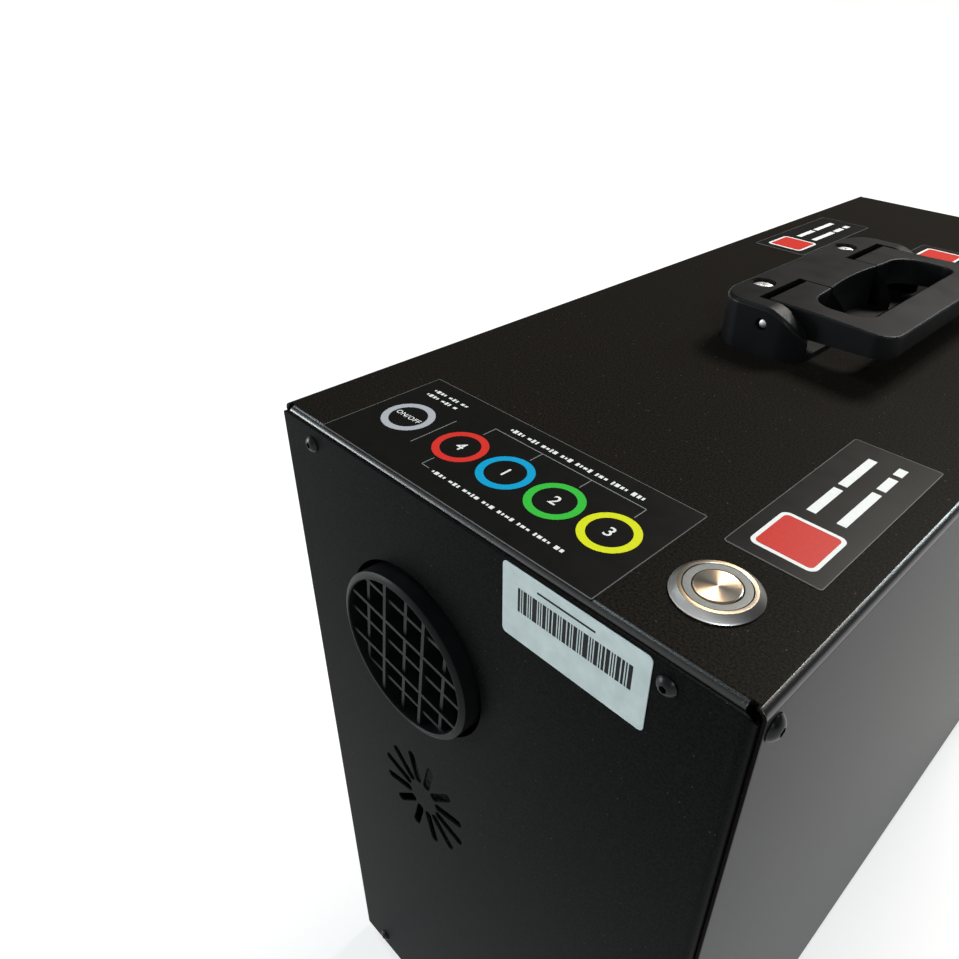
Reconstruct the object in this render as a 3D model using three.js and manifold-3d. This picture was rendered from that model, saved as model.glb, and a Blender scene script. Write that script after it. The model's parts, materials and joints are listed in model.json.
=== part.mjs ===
// A portable diesel air heater: a folded sheet-steel case that holds an air heater above its own
// fuel tank, with a push button, a folding carry handle and a hot-air outlet in the front panel.
// Millimetres, +Z up. The front panel faces -Y and the feet stand on Z = 0.
import * as THREE from "three";
import { mergeVertices } from "three/addons/utils/BufferGeometryUtils.js";
import Module from "manifold-3d";

const wasm = await Module();
wasm.setup();

// ---- Driving dimensions ----

// Case
const CASE_LENGTH = 448;
const CASE_WIDTH = 192;
const TOP = 350; // height of the top sheet above the floor
const SHEET = 1.2;
const BEND = 2.8; // outer radius of every bend
const GAP = 0.3; // clearance between pieces that touch
const FOOT_HEIGHT = 10;
const FOOT_INSET_X = 22;
const FOOT_INSET_Y = 36;
const FLANGE = 15; // height of the cover's end flanges
const RETURN = 20; // depth of the end panels' return bends
const RELIEF = 4.8; // how far the cover's end flanges stop short of its sides
const SIDE_SETBACK = 3; // from an end panel's face to the edge of the cover's sides
const COVER_LOW = FOOT_HEIGHT + 2; // lower edge of the cover's sides
const TRAY_SIDE = 25; // height of the base tray's sides
const SHELF_Z = 211;

// Button-head socket screws: M4 in the sides and smaller ones in the end panels
const SIDE_HEAD = 3.8; // radius of a head
const END_HEAD = 3;
const HEAD_RISE = 0.58; // a head's height over its radius
const SCREW_RADIUS = 1.9;
const SCREW_LENGTH = 7;
const SCREW_HOLE = 2.3;
const SCREW_DROP = 7.6; // below the top, on the end panels
const SIDE_SCREW_DROP = 8.2; // below the top, on the sides
const SIDE_SCREW_INSET = 8; // from an end panel's face
const FRONT_SCREW_LEFT = -75.7;
const FRONT_SCREW_RIGHT = 72.6;
const LOW_SCREW_Z = 18;

// Heater unit, whose axis runs along Y
const HEATER_X = -26.7;
const HEATER_Z = TOP - 69.1;
const OUTLET_HOLE = 34.5;
const COLLAR_RADIUS = 32.5;
const COLLAR_BORE = 29.9;
const COLLAR_PROUD = 5.9; // from the front panel's face to the collar's lip
const COLLAR_DEPTH = 22;
const GRID_PITCH = 10.1;
const GRID_BAR = 1.5;
const GRID_DEPTH = 8;
const GRID_STEP = 0.9; // the even bars stand this much further back
const GRID_TURN = 7.5; // degrees, clockwise seen from the front
const CASING_WIDTH = 115;
const CASING_HEIGHT = 122;
const CASING_WALL = 2.5;
const CASING_CORNER = 26;
const CASING_FRONT = -177;
const CASING_REAR = 60;
const EXHAUST_Y = -90;
const AIR_INLET_Y = -6;
const GLOW_Y = -40;
const EXCHANGER_RADIUS = 38;
const FIN_RADIUS = 52;
const FIN_COUNT = 16;
const BLADE_COUNT = 9;
const VANE_COUNT = 10;

// Radial vent slots below the outlet
const VENT_X = -28;
const VENT_Z = TOP - 154.4;
const VENT_RADIUS = 24.2;
const VENT_INNER = 8;
const VENT_SLOT = 3.7;
const VENT_COUNT = 12;

// Push button
const BUTTON_X = 66.4;
const BUTTON_INSET = 27.7; // from the front panel's face
const BUTTON_FLANGE = 12.3;
const BUTTON_HEIGHT = 2.3;
const BUTTON_THREAD = 10.9;
const BUTTON_DEPTH = 26;
const BUTTON_BORE = 9.1;
const LIGHT_OUTER = 8.8;
const LIGHT_INNER = 6.7;
const CAP_RADIUS = 6.35;

// Films and label
const LEGEND = { x0: -72.2, x1: 46.4, y0: 2.7, y1: 53.3, corner: 1.5 };
const NOTICE = { x0: 55.4, x1: 84.8, y0: 47.4, y1: 126.9, corner: 1.5 };
const LABEL = { x0: 17.9, x1: 68.2, z0: 27.8, z1: 1.9, corner: 1.6 };
const FILM = 0.3;

// Carry handle, with its pin along Y
const HANDLE_HALF = 62.1; // half length of the base
const HANDLE_HEIGHT = 20;
const HANDLE_LEFT = -27.2;
const HANDLE_RIGHT = 13.4;
const PIN_X = -4.6;
const PIN_Z = 12.7;
const PIN_RADIUS = 2;
const PIN_HOLE = 2.35;
const HINGE_OUT = 53.8; // inner face of the cheeks
const HINGE_IN = 21; // face of the centre block
const CENTRE_RIGHT = 4; // how far right the centre block's flat top may reach before its wall is hollowed
const SPINE_RIGHT = -11.8;
const SPINE_TOP = 1.6; // thickness of the spine's top beside the hinge slots
const BAIL_LEFT = -8.4;
const BAIL_RIGHT = 45.2;
const GRIP_LEFT = 30;
const KNUCKLE = 4.4; // radius of the bail's hinge barrel
const HANDLE_FLOOR = 2.5;
const SPINE_SCREW_X = -19.6;
const SPINE_SCREW_Y = 37;
const SPINE_HEAD = 4.8; // radius of the head in the spine
const SPINE_RECESS = 5.2;
const SPINE_HOLLOW = 4.5; // how far the hinge slots reach under the spine's top
const BASE_CORNERS = { left: [12, 16], right: [10.4, 13.3] }; // reach along X and Y

// Fuel system, pipes and the rear panel
const TANK = { x: 84, y0: -195, y1: 150, z0: 14, z1: 150, corner: 14 };
const PIPE_Z = 180; // height of the exhaust and combustion air pipes
const PIPE_RADIUS = 12;
const HOSE_RADIUS = 12.5;
const EXHAUST_X = -62;
const AIR_PIPE_X = -8;
const REAR_PROUD = 20; // how far the pipes stand out of the rear panel
const FILLER_X = 48;
const FILLER_Z = 182;
const FILLER_RADIUS = 16;
const FILLER_BORE = 13.5;
const FILLER_CAP = 21;
const PUMP_X = 62;
const PUMP_Z = 186;
const PUMP_Y = -70;
const GRILLE_HOLE = 48;
const SOCKET_X = 62;
const SOCKET_Z = 300;
const SOCKET_WIDTH = 26;
const SOCKET_DEPTH = 18;
const LINE_HOLE_Y = 12; // where the fuel line passes up to the burner
const TANK_NECK_Y = 128;
const PICKUP_Y = -150;
const CAP_PROUD = 20.3; // the filler cap's grip bar behind the rear panel

// Faces that follow from them
const FRONT = -CASE_LENGTH / 2;
const REAR = CASE_LENGTH / 2;
const SIDE = CASE_WIDTH / 2;
const INNER = SIDE - SHEET - 0.2; // outer face of the return bends inside the cover
const FLANGE_END = REAR - SHEET - 0.2; // outer face of the cover's end flanges
const BUTTON_Y = FRONT + BUTTON_INSET;
const ORIGIN_SHIFT = (CAP_PROUD - COLLAR_PROUD) / 2;

// ---- Materials ----

const material = (color, roughness, metalness) =>
  new THREE.MeshStandardMaterial({ color, roughness, metalness });

const powderBlack = material(0x1b1a18, 0.55, 0.1);
const plasticBlack = material(0x16171a, 0.6, 0);
const screwBlack = material(0x141414, 0.35, 0.6);
const rubberBlack = material(0x101010, 0.9, 0);
const filmBlack = material(0x17171b, 0.3, 0);
const labelWhite = material(0xb2beb9, 0.45, 0);
const stainless = material(0xb8b4ae, 0.25, 0.95);
const lightGrey = material(0x9a9e9c, 0.4, 0);
const zincSteel = material(0xc9c5ba, 0.3, 0.9);
const castAluminium = material(0x9c9ea0, 0.5, 0.85);
const tankPlastic = material(0xd8d6cc, 0.55, 0);
const fuelLineBlue = material(0x6f8fb5, 0.4, 0);
const shellGrey = material(0x2b2d30, 0.6, 0);

// ---- Shapes and solids ----

// A closed geometry as a solid for joining and cutting, with its faces turned out.
function solid(geometry) {
  const bare = new THREE.BufferGeometry();
  const source = geometry.index ? geometry.toNonIndexed() : geometry;
  bare.setAttribute("position", source.getAttribute("position").clone());
  const merged = mergeVertices(bare, 1e-4);
  const vertProperties = merged.attributes.position.array;
  const triVerts = new Uint32Array(merged.index.array);
  const body = new wasm.Manifold(new wasm.Mesh({ numProp: 3, vertProperties, triVerts }));
  if (body.volume() > 0) return body;
  triVerts.reverse();
  return new wasm.Manifold(new wasm.Mesh({ numProp: 3, vertProperties, triVerts }));
}

// A solid as a flat-shaded geometry.
function geometryOf(body) {
  const mesh = body.getMesh();
  const places = new Float32Array(mesh.numVert * 3);
  for (let i = 0; i < mesh.numVert; i++) {
    const start = i * mesh.numProp;
    places.set(mesh.vertProperties.subarray(start, start + 3), i * 3);
  }
  const geometry = new THREE.BufferGeometry();
  geometry.setAttribute("position", new THREE.BufferAttribute(places, 3));
  geometry.setIndex(new THREE.BufferAttribute(new Uint32Array(mesh.triVerts), 1));
  const flat = geometry.toNonIndexed();
  flat.computeVertexNormals();
  return flat;
}

const join = (...bodies) => bodies.reduce((all, body) => all.add(body));
const cut = (body, ...tools) => tools.reduce((rest, tool) => rest.subtract(tool), body);

// A box between two corners.
function block(x0, x1, y0, y1, z0, z1) {
  const box = new THREE.BoxGeometry(x1 - x0, y1 - y0, z1 - z0);
  return solid(box.translate((x0 + x1) / 2, (y0 + y1) / 2, (z0 + z1) / 2));
}

// A shape extruded along an axis, from one value to another. It is drawn as (Y, Z) for x, as
// (X, Z) for y and as (X, Y) for z.
function plate(shape, axis, from, to, curveSegments = 2) {
  const options = { depth: to - from, bevelEnabled: false, curveSegments };
  const geometry = new THREE.ExtrudeGeometry(shape, options);
  if (axis === "y") geometry.translate(0, 0, -to).rotateX(Math.PI / 2);
  else geometry.translate(0, 0, from);
  if (axis === "x") geometry.rotateY(Math.PI / 2).rotateX(Math.PI / 2);
  return solid(geometry);
}

// Turns a geometry made round the Y axis onto another axis and sets it at (a, b) across it.
function onAxis(geometry, axis, a, b) {
  if (axis === "x") geometry.rotateZ(-Math.PI / 2).translate(0, a, b);
  if (axis === "y") geometry.translate(a, 0, b);
  if (axis === "z") geometry.rotateX(Math.PI / 2).translate(a, b, 0);
  return solid(geometry);
}

// A cylinder along an axis, between two values on it, centred on (a, b) across it.
function rod(axis, radius, from, to, a, b, segments = 20) {
  const cylinder = new THREE.CylinderGeometry(radius, radius, to - from, segments);
  return onAxis(cylinder.translate(0, (from + to) / 2, 0), axis, a, b);
}

// A turned piece: the profile holds [radius, place along the axis] pairs, and it starts and ends
// on the axis, or closes on itself.
function turned(profile, axis, a, b, segments = 24) {
  const points = profile.map(([radius, along]) => new THREE.Vector2(radius, along));
  return onAxis(new THREE.LatheGeometry(points, segments), axis, a, b);
}

// A ring with a rectangular section.
function ring(axis, inner, outer, from, to, a, b, segments = 28) {
  const profile = [[inner, from], [outer, from], [outer, to], [inner, to], [inner, from]];
  return turned(profile, axis, a, b, segments);
}

// A rectangle with rounded corners between (x0, y0) and (x1, y1).
function rounded(x0, x1, y0, y1, radius) {
  const shape = new THREE.Shape();
  shape.moveTo(x0 + radius, y0);
  shape.lineTo(x1 - radius, y0);
  shape.absarc(x1 - radius, y0 + radius, radius, -Math.PI / 2, 0);
  shape.lineTo(x1, y1 - radius);
  shape.absarc(x1 - radius, y1 - radius, radius, 0, Math.PI / 2);
  shape.lineTo(x0 + radius, y1);
  shape.absarc(x0 + radius, y1 - radius, radius, Math.PI / 2, Math.PI);
  shape.lineTo(x0, y0 + radius);
  shape.absarc(x0 + radius, y0 + radius, radius, Math.PI, 1.5 * Math.PI);
  return shape;
}

const polygon = (points) => new THREE.Shape(points.map(([x, y]) => new THREE.Vector2(x, y)));

// The section of a sheet folded up at both ends: it runs from (-half, low) up to the flat at
// top and down again, with both bends rounded.
function foldedSection(half, top, low) {
  const shape = new THREE.Shape();
  const inner = BEND - SHEET;
  shape.moveTo(-half, low);
  shape.lineTo(-half, top - BEND);
  shape.absarc(-half + BEND, top - BEND, BEND, Math.PI, Math.PI / 2, true);
  shape.lineTo(half - BEND, top);
  shape.absarc(half - BEND, top - BEND, BEND, Math.PI / 2, 0, true);
  shape.lineTo(half, low);
  shape.lineTo(half - SHEET, low);
  shape.lineTo(half - SHEET, top - BEND);
  shape.absarc(half - BEND, top - BEND, inner, 0, Math.PI / 2);
  shape.lineTo(-half + BEND, top - SHEET);
  shape.absarc(-half + BEND, top - BEND, inner, Math.PI / 2, Math.PI);
  shape.lineTo(-half + SHEET, low);
  return shape;
}

// A tube of a given radius and bore along a smooth curve through points.
function tube(points, radius, bore, sides, steps) {
  const section = new THREE.Shape().absarc(0, 0, radius, 0, 2 * Math.PI);
  if (bore) section.holes.push(new THREE.Path().absarc(0, 0, bore, 0, 2 * Math.PI));
  const extrudePath = new THREE.CatmullRomCurve3(points.map((p) => new THREE.Vector3(...p)));
  const options = { steps, extrudePath, curveSegments: sides, bevelEnabled: false };
  return solid(new THREE.ExtrudeGeometry(section, options));
}

// ---- Screws ----

const footPlaces = [
  ["front_left", -SIDE + FOOT_INSET_X, FRONT + FOOT_INSET_Y],
  ["front_right", SIDE - FOOT_INSET_X, FRONT + FOOT_INSET_Y],
  ["rear_left", -SIDE + FOOT_INSET_X, REAR - FOOT_INSET_Y],
  ["rear_right", SIDE - FOOT_INSET_X, REAR - FOOT_INSET_Y],
];

// Every case screw: its name, its axis, the face that its head rests on with the way out of it,
// and its place across the axis.
const screwPlaces = [
  ["front_screw_top_left", "y", FRONT, -1, FRONT_SCREW_LEFT, TOP - SCREW_DROP],
  ["front_screw_top_right", "y", FRONT, -1, FRONT_SCREW_RIGHT, TOP - SCREW_DROP],
  ["front_screw_low_left", "y", FRONT, -1, FRONT_SCREW_LEFT, LOW_SCREW_Z],
  ["front_screw_low_right", "y", FRONT, -1, FRONT_SCREW_RIGHT, LOW_SCREW_Z],
  ["rear_screw_top_left", "y", REAR, 1, FRONT_SCREW_LEFT, TOP - SCREW_DROP],
  ["rear_screw_top_right", "y", REAR, 1, FRONT_SCREW_RIGHT, TOP - SCREW_DROP],
  ["rear_screw_low_left", "y", REAR, 1, FRONT_SCREW_LEFT, LOW_SCREW_Z],
  ["rear_screw_low_right", "y", REAR, 1, FRONT_SCREW_RIGHT, LOW_SCREW_Z],
  ["left_screw_front", "x", -SIDE, -1, FRONT + SIDE_SCREW_INSET, TOP - SIDE_SCREW_DROP],
  ["left_screw_rear", "x", -SIDE, -1, REAR - SIDE_SCREW_INSET, TOP - SIDE_SCREW_DROP],
  ["right_screw_front", "x", SIDE, 1, FRONT + SIDE_SCREW_INSET, TOP - SIDE_SCREW_DROP],
  ["right_screw_rear", "x", SIDE, 1, REAR - SIDE_SCREW_INSET, TOP - SIDE_SCREW_DROP],
];

// A button-head screw with a hexagon socket, its head resting on a face that looks out along way.
function buttonScrew(axis, face, way, a, b) {
  const along = (distance) => face + way * distance;
  const head = axis === "x" ? SIDE_HEAD : END_HEAD;
  const shank = head / 2;
  const high = head * HEAD_RISE;
  const profile = [
    [0, along(-SCREW_LENGTH)], [shank, along(-SCREW_LENGTH)], [shank, face], [head, face],
    [head, along(high * 0.2)], [head * 0.78, along(high * 0.68)], [head * 0.44, along(high)],
    [0, along(high)],
  ];
  const ends = [along(high * 0.4), along(high + 1)].sort((p, q) => p - q);
  return cut(turned(profile, axis, a, b, 10), rod(axis, head * 0.38, ...ends, a, b, 6));
}

// The clearance hole of each case screw through the sheets behind its face.
const screwHoles = screwPlaces.map(([, axis, face, , a, b]) =>
  rod(axis, SCREW_HOLE, face - SCREW_LENGTH, face + SCREW_LENGTH, a, b, 8),
);

// ---- Case ----

// Both signs of an interval, as a pair in rising order.
const mirrored = (side, near, far) => (side > 0 ? [near, far] : [-far, -near]);

function cover() {
  const bendY = FLANGE_END - BEND;
  const sideY = REAR - SIDE_SETBACK;
  const shell = plate(foldedSection(SIDE, TOP, COVER_LOW), "y", -bendY, bendY);
  const sides = [-1, 1].map((side) => {
    const across = mirrored(side, SIDE - SHEET, SIDE);
    return block(...across, -sideY, sideY, COVER_LOW, TOP - BEND);
  });
  const flanges = foldedSection(FLANGE_END, TOP, TOP - FLANGE);
  const ends = plate(flanges, "x", -SIDE + RELIEF, SIDE - RELIEF);
  const button = rod("z", BUTTON_THREAD + GAP, TOP - 5, TOP + 5, BUTTON_X, BUTTON_Y, 24);
  const spine = [-1, 1].map((end) =>
    rod("z", SCREW_HOLE, TOP - 5, TOP + 5, SPINE_SCREW_X, end * SPINE_SCREW_Y, 12),
  );
  return cut(join(shell, ...sides, ends), button, ...spine, ...screwHoles);
}

// An end panel facing -Y: a flat sheet with rounded top corners and a return bend down each side.
function endPanel() {
  const section = foldedSection(INNER, -FRONT, -FRONT - RETURN);
  const sheet = plate(section, "z", FOOT_HEIGHT, TOP - SHEET).mirror([0, 1, 0]);
  const outline = rounded(-INNER, INNER, FOOT_HEIGHT, TOP - SHEET, 3.5);
  const returns = block(-SIDE, SIDE, FRONT + BEND, FRONT + RETURN + 1, TOP - BEND, TOP);
  return cut(sheet.intersect(plate(outline, "y", FRONT - 1, FRONT + RETURN + 1)), returns);
}

// The radial vent slots, as cutters through a face.
function ventCutters(from, to) {
  const half = VENT_SLOT / 2;
  const outline = rounded(VENT_INNER, VENT_RADIUS, -half, half, half - 0.05);
  const slot = plate(outline, "y", from, to, 1);
  const spacing = 360 / VENT_COUNT;
  return Array.from({ length: VENT_COUNT }, (_, i) =>
    slot.rotate([0, spacing * (i + 0.5), 0]).translate([VENT_X, 0, VENT_Z]),
  );
}

function frontPanel() {
  const through = [FRONT - 1, FRONT + SHEET + 1];
  const outlet = rod("y", OUTLET_HOLE, ...through, HEATER_X, HEATER_Z, 40);
  return cut(endPanel(), outlet, ...ventCutters(...through), ...screwHoles);
}

function rearPanel() {
  const through = [REAR - SHEET - 1, REAR + 1];
  const rounds = [
    [GRILLE_HOLE + GAP, HEATER_X, HEATER_Z],
    [PIPE_RADIUS + 1.5, EXHAUST_X, PIPE_Z],
    [HOSE_RADIUS + 1, AIR_PIPE_X, PIPE_Z],
    [FILLER_RADIUS + GAP, FILLER_X, FILLER_Z],
  ].map(([radius, x, z]) => rod("y", radius, ...through, x, z, 24));
  const wide = SOCKET_WIDTH / 2 + GAP;
  const high = SOCKET_DEPTH / 2 + GAP;
  const socket = [SOCKET_X - wide, SOCKET_X + wide, ...through, SOCKET_Z - high, SOCKET_Z + high];
  return cut(endPanel().mirror([0, 1, 0]), ...rounds, block(...socket), ...screwHoles);
}

function baseTray() {
  const half = INNER - GAP;
  const wall = REAR - RETURN - 1;
  const end = REAR - SHEET - GAP;
  const low = FOOT_HEIGHT;
  const flat = block(-half + BEND, half - BEND, -end, end, low, low + SHEET);
  const sides = plate(foldedSection(half, 0, -TRAY_SIDE), "y", -wall, wall)
    .mirror([0, 0, 1])
    .translate([0, 0, low]);
  const ends = [-1, 1].map((side) => {
    const along = mirrored(side, end - SHEET, end);
    return block(-half + BEND, half - BEND, ...along, low, low + FLANGE);
  });
  const studs = footPlaces.map(([, x, y]) => rod("z", 2.4, low - 1, low + 3, x, y, 12));
  return cut(join(flat, sides, ...ends), ...studs, ...screwHoles);
}

function dividerShelf() {
  const half = INNER - SHEET - GAP;
  const end = REAR - RETURN - 4;
  const shelf = plate(foldedSection(half, SHELF_Z + SHEET, SHELF_Z - 12), "y", -end, end);
  const through = [SHELF_Z - 1, SHELF_Z + SHEET + 1];
  return cut(
    shelf,
    rod("z", PIPE_RADIUS + 2, ...through, HEATER_X, EXHAUST_Y),
    rod("z", HOSE_RADIUS + 2, ...through, HEATER_X, AIR_INLET_Y),
    rod("z", 5, ...through, PUMP_X, LINE_HOLE_Y, 12),
  );
}

// A rubber foot: a tapered disc with a recess below, and a stud up through the tray.
function foot(x, y) {
  const profile = [
    [0, 4], [4, 4], [4, 0], [10, 0], [11, 1], [12.5, FOOT_HEIGHT],
    [2.1, FOOT_HEIGHT], [2.1, FOOT_HEIGHT + SHEET + 2], [0, FOOT_HEIGHT + SHEET + 2],
  ];
  return turned(profile, "z", x, y, 12);
}

// ---- Films and label ----

// A thin film on the top sheet, placed from the front panel's face.
function topFilm({ x0, x1, y0, y1, corner }) {
  const outline = rounded(x0, x1, FRONT + y0, FRONT + y1, corner);
  return plate(outline, "z", TOP, TOP + FILM);
}

function frontLabel() {
  const outline = rounded(LABEL.x0, LABEL.x1, TOP - LABEL.z0, TOP - LABEL.z1, LABEL.corner);
  return plate(outline, "y", FRONT - FILM, FRONT);
}

// ---- Push button ----

function buttonBezel() {
  const low = TOP - BUTTON_DEPTH;
  const profile = [
    [BUTTON_BORE, low], [BUTTON_THREAD, low], [BUTTON_THREAD, TOP], [BUTTON_FLANGE, TOP],
    [BUTTON_FLANGE, TOP + 0.9], [BUTTON_FLANGE - 1.2, TOP + BUTTON_HEIGHT],
    [BUTTON_BORE, TOP + BUTTON_HEIGHT], [BUTTON_BORE, low],
  ];
  return turned(profile, "z", BUTTON_X, BUTTON_Y, 28);
}

const buttonRing = () =>
  ring("z", LIGHT_INNER, LIGHT_OUTER, TOP - 6, TOP + BUTTON_HEIGHT, BUTTON_X, BUTTON_Y, 28);

const buttonCap = () =>
  rod("z", CAP_RADIUS, TOP - 6, TOP + BUTTON_HEIGHT + 0.1, BUTTON_X, BUTTON_Y, 28);

function buttonNut() {
  const top = TOP - SHEET - GAP;
  const hexagon = rod("z", 14.5, top - 4, top, BUTTON_X, BUTTON_Y, 6);
  const bore = rod("z", BUTTON_THREAD + GAP, top - 5, top + 1, BUTTON_X, BUTTON_Y, 24);
  return cut(hexagon, bore);
}

// ---- Carry handle ----

const onTop = (body) => body.translate([0, 0, TOP]);

// The base seen from above: its corners are quarter ellipses, wider on the left.
function baseOutline() {
  const shape = new THREE.Shape();
  const { left, right } = BASE_CORNERS;
  const [leftX, leftY] = [HANDLE_LEFT + left[0], HANDLE_HALF - left[1]];
  const [rightX, rightY] = [HANDLE_RIGHT - right[0], HANDLE_HALF - right[1]];
  const quarter = Math.PI / 2;
  shape.moveTo(leftX, -HANDLE_HALF);
  shape.absellipse(rightX, -rightY, ...right, -quarter, 0);
  shape.absellipse(rightX, rightY, ...right, 0, quarter);
  shape.absellipse(leftX, leftY, ...left, quarter, 2 * quarter);
  shape.absellipse(leftX, -leftY, ...left, 2 * quarter, 3 * quarter);
  return shape;
}

// The side view of the cheeks: upright at the left, flat on top, with a rounded nose to the right.
function cheekProfile() {
  const shape = new THREE.Shape();
  shape.moveTo(HANDLE_LEFT, 0);
  shape.lineTo(HANDLE_LEFT, HANDLE_HEIGHT - 2);
  shape.absarc(HANDLE_LEFT + 2, HANDLE_HEIGHT - 2, 2, Math.PI, Math.PI / 2, true);
  shape.lineTo(-4, HANDLE_HEIGHT);
  shape.bezierCurveTo(3, HANDLE_HEIGHT, 11.8, 13.2, HANDLE_RIGHT, 6);
  shape.lineTo(HANDLE_RIGHT, 0);
  return shape;
}

function handleBase() {
  const outer = plate(baseOutline(), "z", 0, HANDLE_HEIGHT, 5);
  const profile = plate(cheekProfile(), "y", -HANDLE_HALF, HANDLE_HALF, 4);
  const above = HANDLE_HEIGHT + 1;
  const right = HANDLE_RIGHT + 1;
  const centre = block(SPINE_RIGHT - 1, CENTRE_RIGHT, -HINGE_IN, HINGE_IN, 1, HANDLE_HEIGHT);
  const body = join(outer.intersect(profile), centre);
  const tools = [plate(centreRecess(), "z", HANDLE_FLOOR, above, 8)];
  for (const end of [-1, 1]) {
    const along = mirrored(end, HINGE_IN, HINGE_OUT);
    const under = HANDLE_HEIGHT - SPINE_TOP;
    tools.push(block(SPINE_RIGHT, right, ...along, HANDLE_FLOOR, above));
    tools.push(block(SPINE_RIGHT - SPINE_HOLLOW, SPINE_RIGHT + 1, ...along, HANDLE_FLOOR, under));
    tools.push(rod("y", PIN_HOLE, ...mirrored(end, HINGE_IN - 9, HANDLE_HALF + 1), PIN_X, PIN_Z, 12));
    const y = end * SPINE_SCREW_Y;
    tools.push(rod("z", SCREW_HOLE, -1, above, SPINE_SCREW_X, y, 10));
    tools.push(rod("z", SPINE_RECESS, HANDLE_HEIGHT - 2.6, above, SPINE_SCREW_X, y, 16));
  }
  return onTop(cut(body, ...tools));
}

// The space right of the centre block, whose wall bulges to the right between the hinge slots.
function centreRecess() {
  const shape = new THREE.Shape();
  shape.moveTo(3.2, -HINGE_IN);
  shape.quadraticCurveTo(0, 0, 3.2, HINGE_IN);
  shape.lineTo(HANDLE_RIGHT + 1, HINGE_IN);
  shape.lineTo(HANDLE_RIGHT + 1, -HINGE_IN);
  return shape;
}

// The bail seen from above: hinge blocks, arms that splay a little, and the grip.
function bailOutline() {
  const shape = new THREE.Shape();
  const block = HINGE_IN + GAP;
  const corner = 8;
  const [hinge, grip] = [HINGE_OUT - 1.3, 56.3];
  shape.moveTo(BAIL_LEFT, -hinge);
  shape.lineTo(HANDLE_RIGHT + 1, -hinge - 0.6);
  shape.lineTo(BAIL_RIGHT - corner, -grip);
  shape.quadraticCurveTo(BAIL_RIGHT, -grip, BAIL_RIGHT, -grip + corner);
  shape.lineTo(BAIL_RIGHT, grip - corner);
  shape.quadraticCurveTo(BAIL_RIGHT, grip, BAIL_RIGHT - corner, grip);
  shape.lineTo(HANDLE_RIGHT + 1, hinge + 0.6);
  shape.lineTo(BAIL_LEFT, hinge);
  shape.lineTo(BAIL_LEFT, block);
  shape.lineTo(3.4, block);
  shape.quadraticCurveTo(4.6, 36, 10, 41);
  shape.quadraticCurveTo(16, 43.5, GRIP_LEFT - 7, 43.5);
  shape.quadraticCurveTo(GRIP_LEFT, 43.5, GRIP_LEFT, 36);
  shape.lineTo(GRIP_LEFT, -36);
  shape.quadraticCurveTo(GRIP_LEFT, -43.5, GRIP_LEFT - 7, -43.5);
  shape.quadraticCurveTo(16, -43.5, 10, -41);
  shape.quadraticCurveTo(4.6, -36, 3.4, -block);
  shape.lineTo(BAIL_LEFT, -block);
  return shape;
}

// The bail seen from the side: flush with the base on top, thinner towards the grip.
function bailProfile() {
  const top = HANDLE_HEIGHT;
  return polygon([
    [BAIL_LEFT, top - 0.8], [BAIL_LEFT + 0.8, top], [BAIL_RIGHT - 1.2, top],
    [BAIL_RIGHT, top - 1.5], [BAIL_RIGHT, 12], [BAIL_RIGHT - 2, 11], [17, 9], [2, PIN_Z - KNUCKLE],
    [BAIL_LEFT, PIN_Z - KNUCKLE + 1],
  ]);
}

function handleBail() {
  const plan = plate(bailOutline(), "z", 0, HANDLE_HEIGHT, 5);
  const side = plate(bailProfile(), "y", -HANDLE_HALF, HANDLE_HALF);
  const ends = [-1, 1].map((end) => mirrored(end, HINGE_IN + GAP, HINGE_OUT - 1.3));
  const barrels = ends.map((along) => rod("y", KNUCKLE, ...along, PIN_X, PIN_Z, 20));
  const bores = ends.map(([a, b]) => rod("y", PIN_HOLE, a - 1, b + 1, PIN_X, PIN_Z, 16));
  return onTop(cut(join(plan.intersect(side), ...barrels), ...bores));
}

const handlePin = (end) =>
  onTop(rod("y", PIN_RADIUS, ...mirrored(end, HINGE_IN - 8, HANDLE_HALF - 1), PIN_X, PIN_Z, 16));

// A countersunk screw down through the spine, with a cross recess in its head.
function handleScrew(end) {
  const head = HANDLE_HEIGHT - 2.6 + GAP;
  const [x, y] = [SPINE_SCREW_X, end * SPINE_SCREW_Y];
  const profile = [
    [0, -6], [SCREW_RADIUS, -6], [SCREW_RADIUS, head], [SPINE_HEAD, head], [SPINE_HEAD, head + 0.6],
    [SPINE_HEAD - 0.8, head + 1.3], [0, head + 1.3],
  ];
  const [deep, high] = [head + 0.5, head + 2];
  const recess = join(
    block(x - 2.4, x + 2.4, y - 0.5, y + 0.5, deep, high),
    block(x - 0.5, x + 0.5, y - 2.4, y + 2.4, deep, high),
  );
  return onTop(cut(turned(profile, "z", x, y, 16), recess));
}

// ---- Heater unit ----

const atHeater = (body) => body.translate([HEATER_X, 0, HEATER_Z]);

// The outlet collar: a sloping lip round a square grid whose even bars stand further back.
function outletCollar() {
  const lip = FRONT - COLLAR_PROUD;
  const back = lip + COLLAR_DEPTH;
  const profile = [
    [COLLAR_BORE, lip], [COLLAR_RADIUS, lip + 0.9], [COLLAR_RADIUS, back],
    [COLLAR_BORE, back], [COLLAR_BORE, lip],
  ];
  const bars = [];
  for (const step of [-2, -1, 0, 1, 2]) {
    const place = step * GRID_PITCH;
    const half = Math.sqrt(COLLAR_BORE ** 2 - place ** 2) + 1;
    const front = lip + 1 + (step % 2 ? 0 : GRID_STEP);
    const bar = [front, lip + 1 + GRID_DEPTH];
    bars.push(block(place - GRID_BAR / 2, place + GRID_BAR / 2, ...bar, -half, half));
    bars.push(block(-half, half, ...bar, place - GRID_BAR / 2, place + GRID_BAR / 2));
  }
  return atHeater(join(turned(profile, "y", 0, 0, 40), join(...bars).rotate([0, GRID_TURN, 0])));
}

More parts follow.
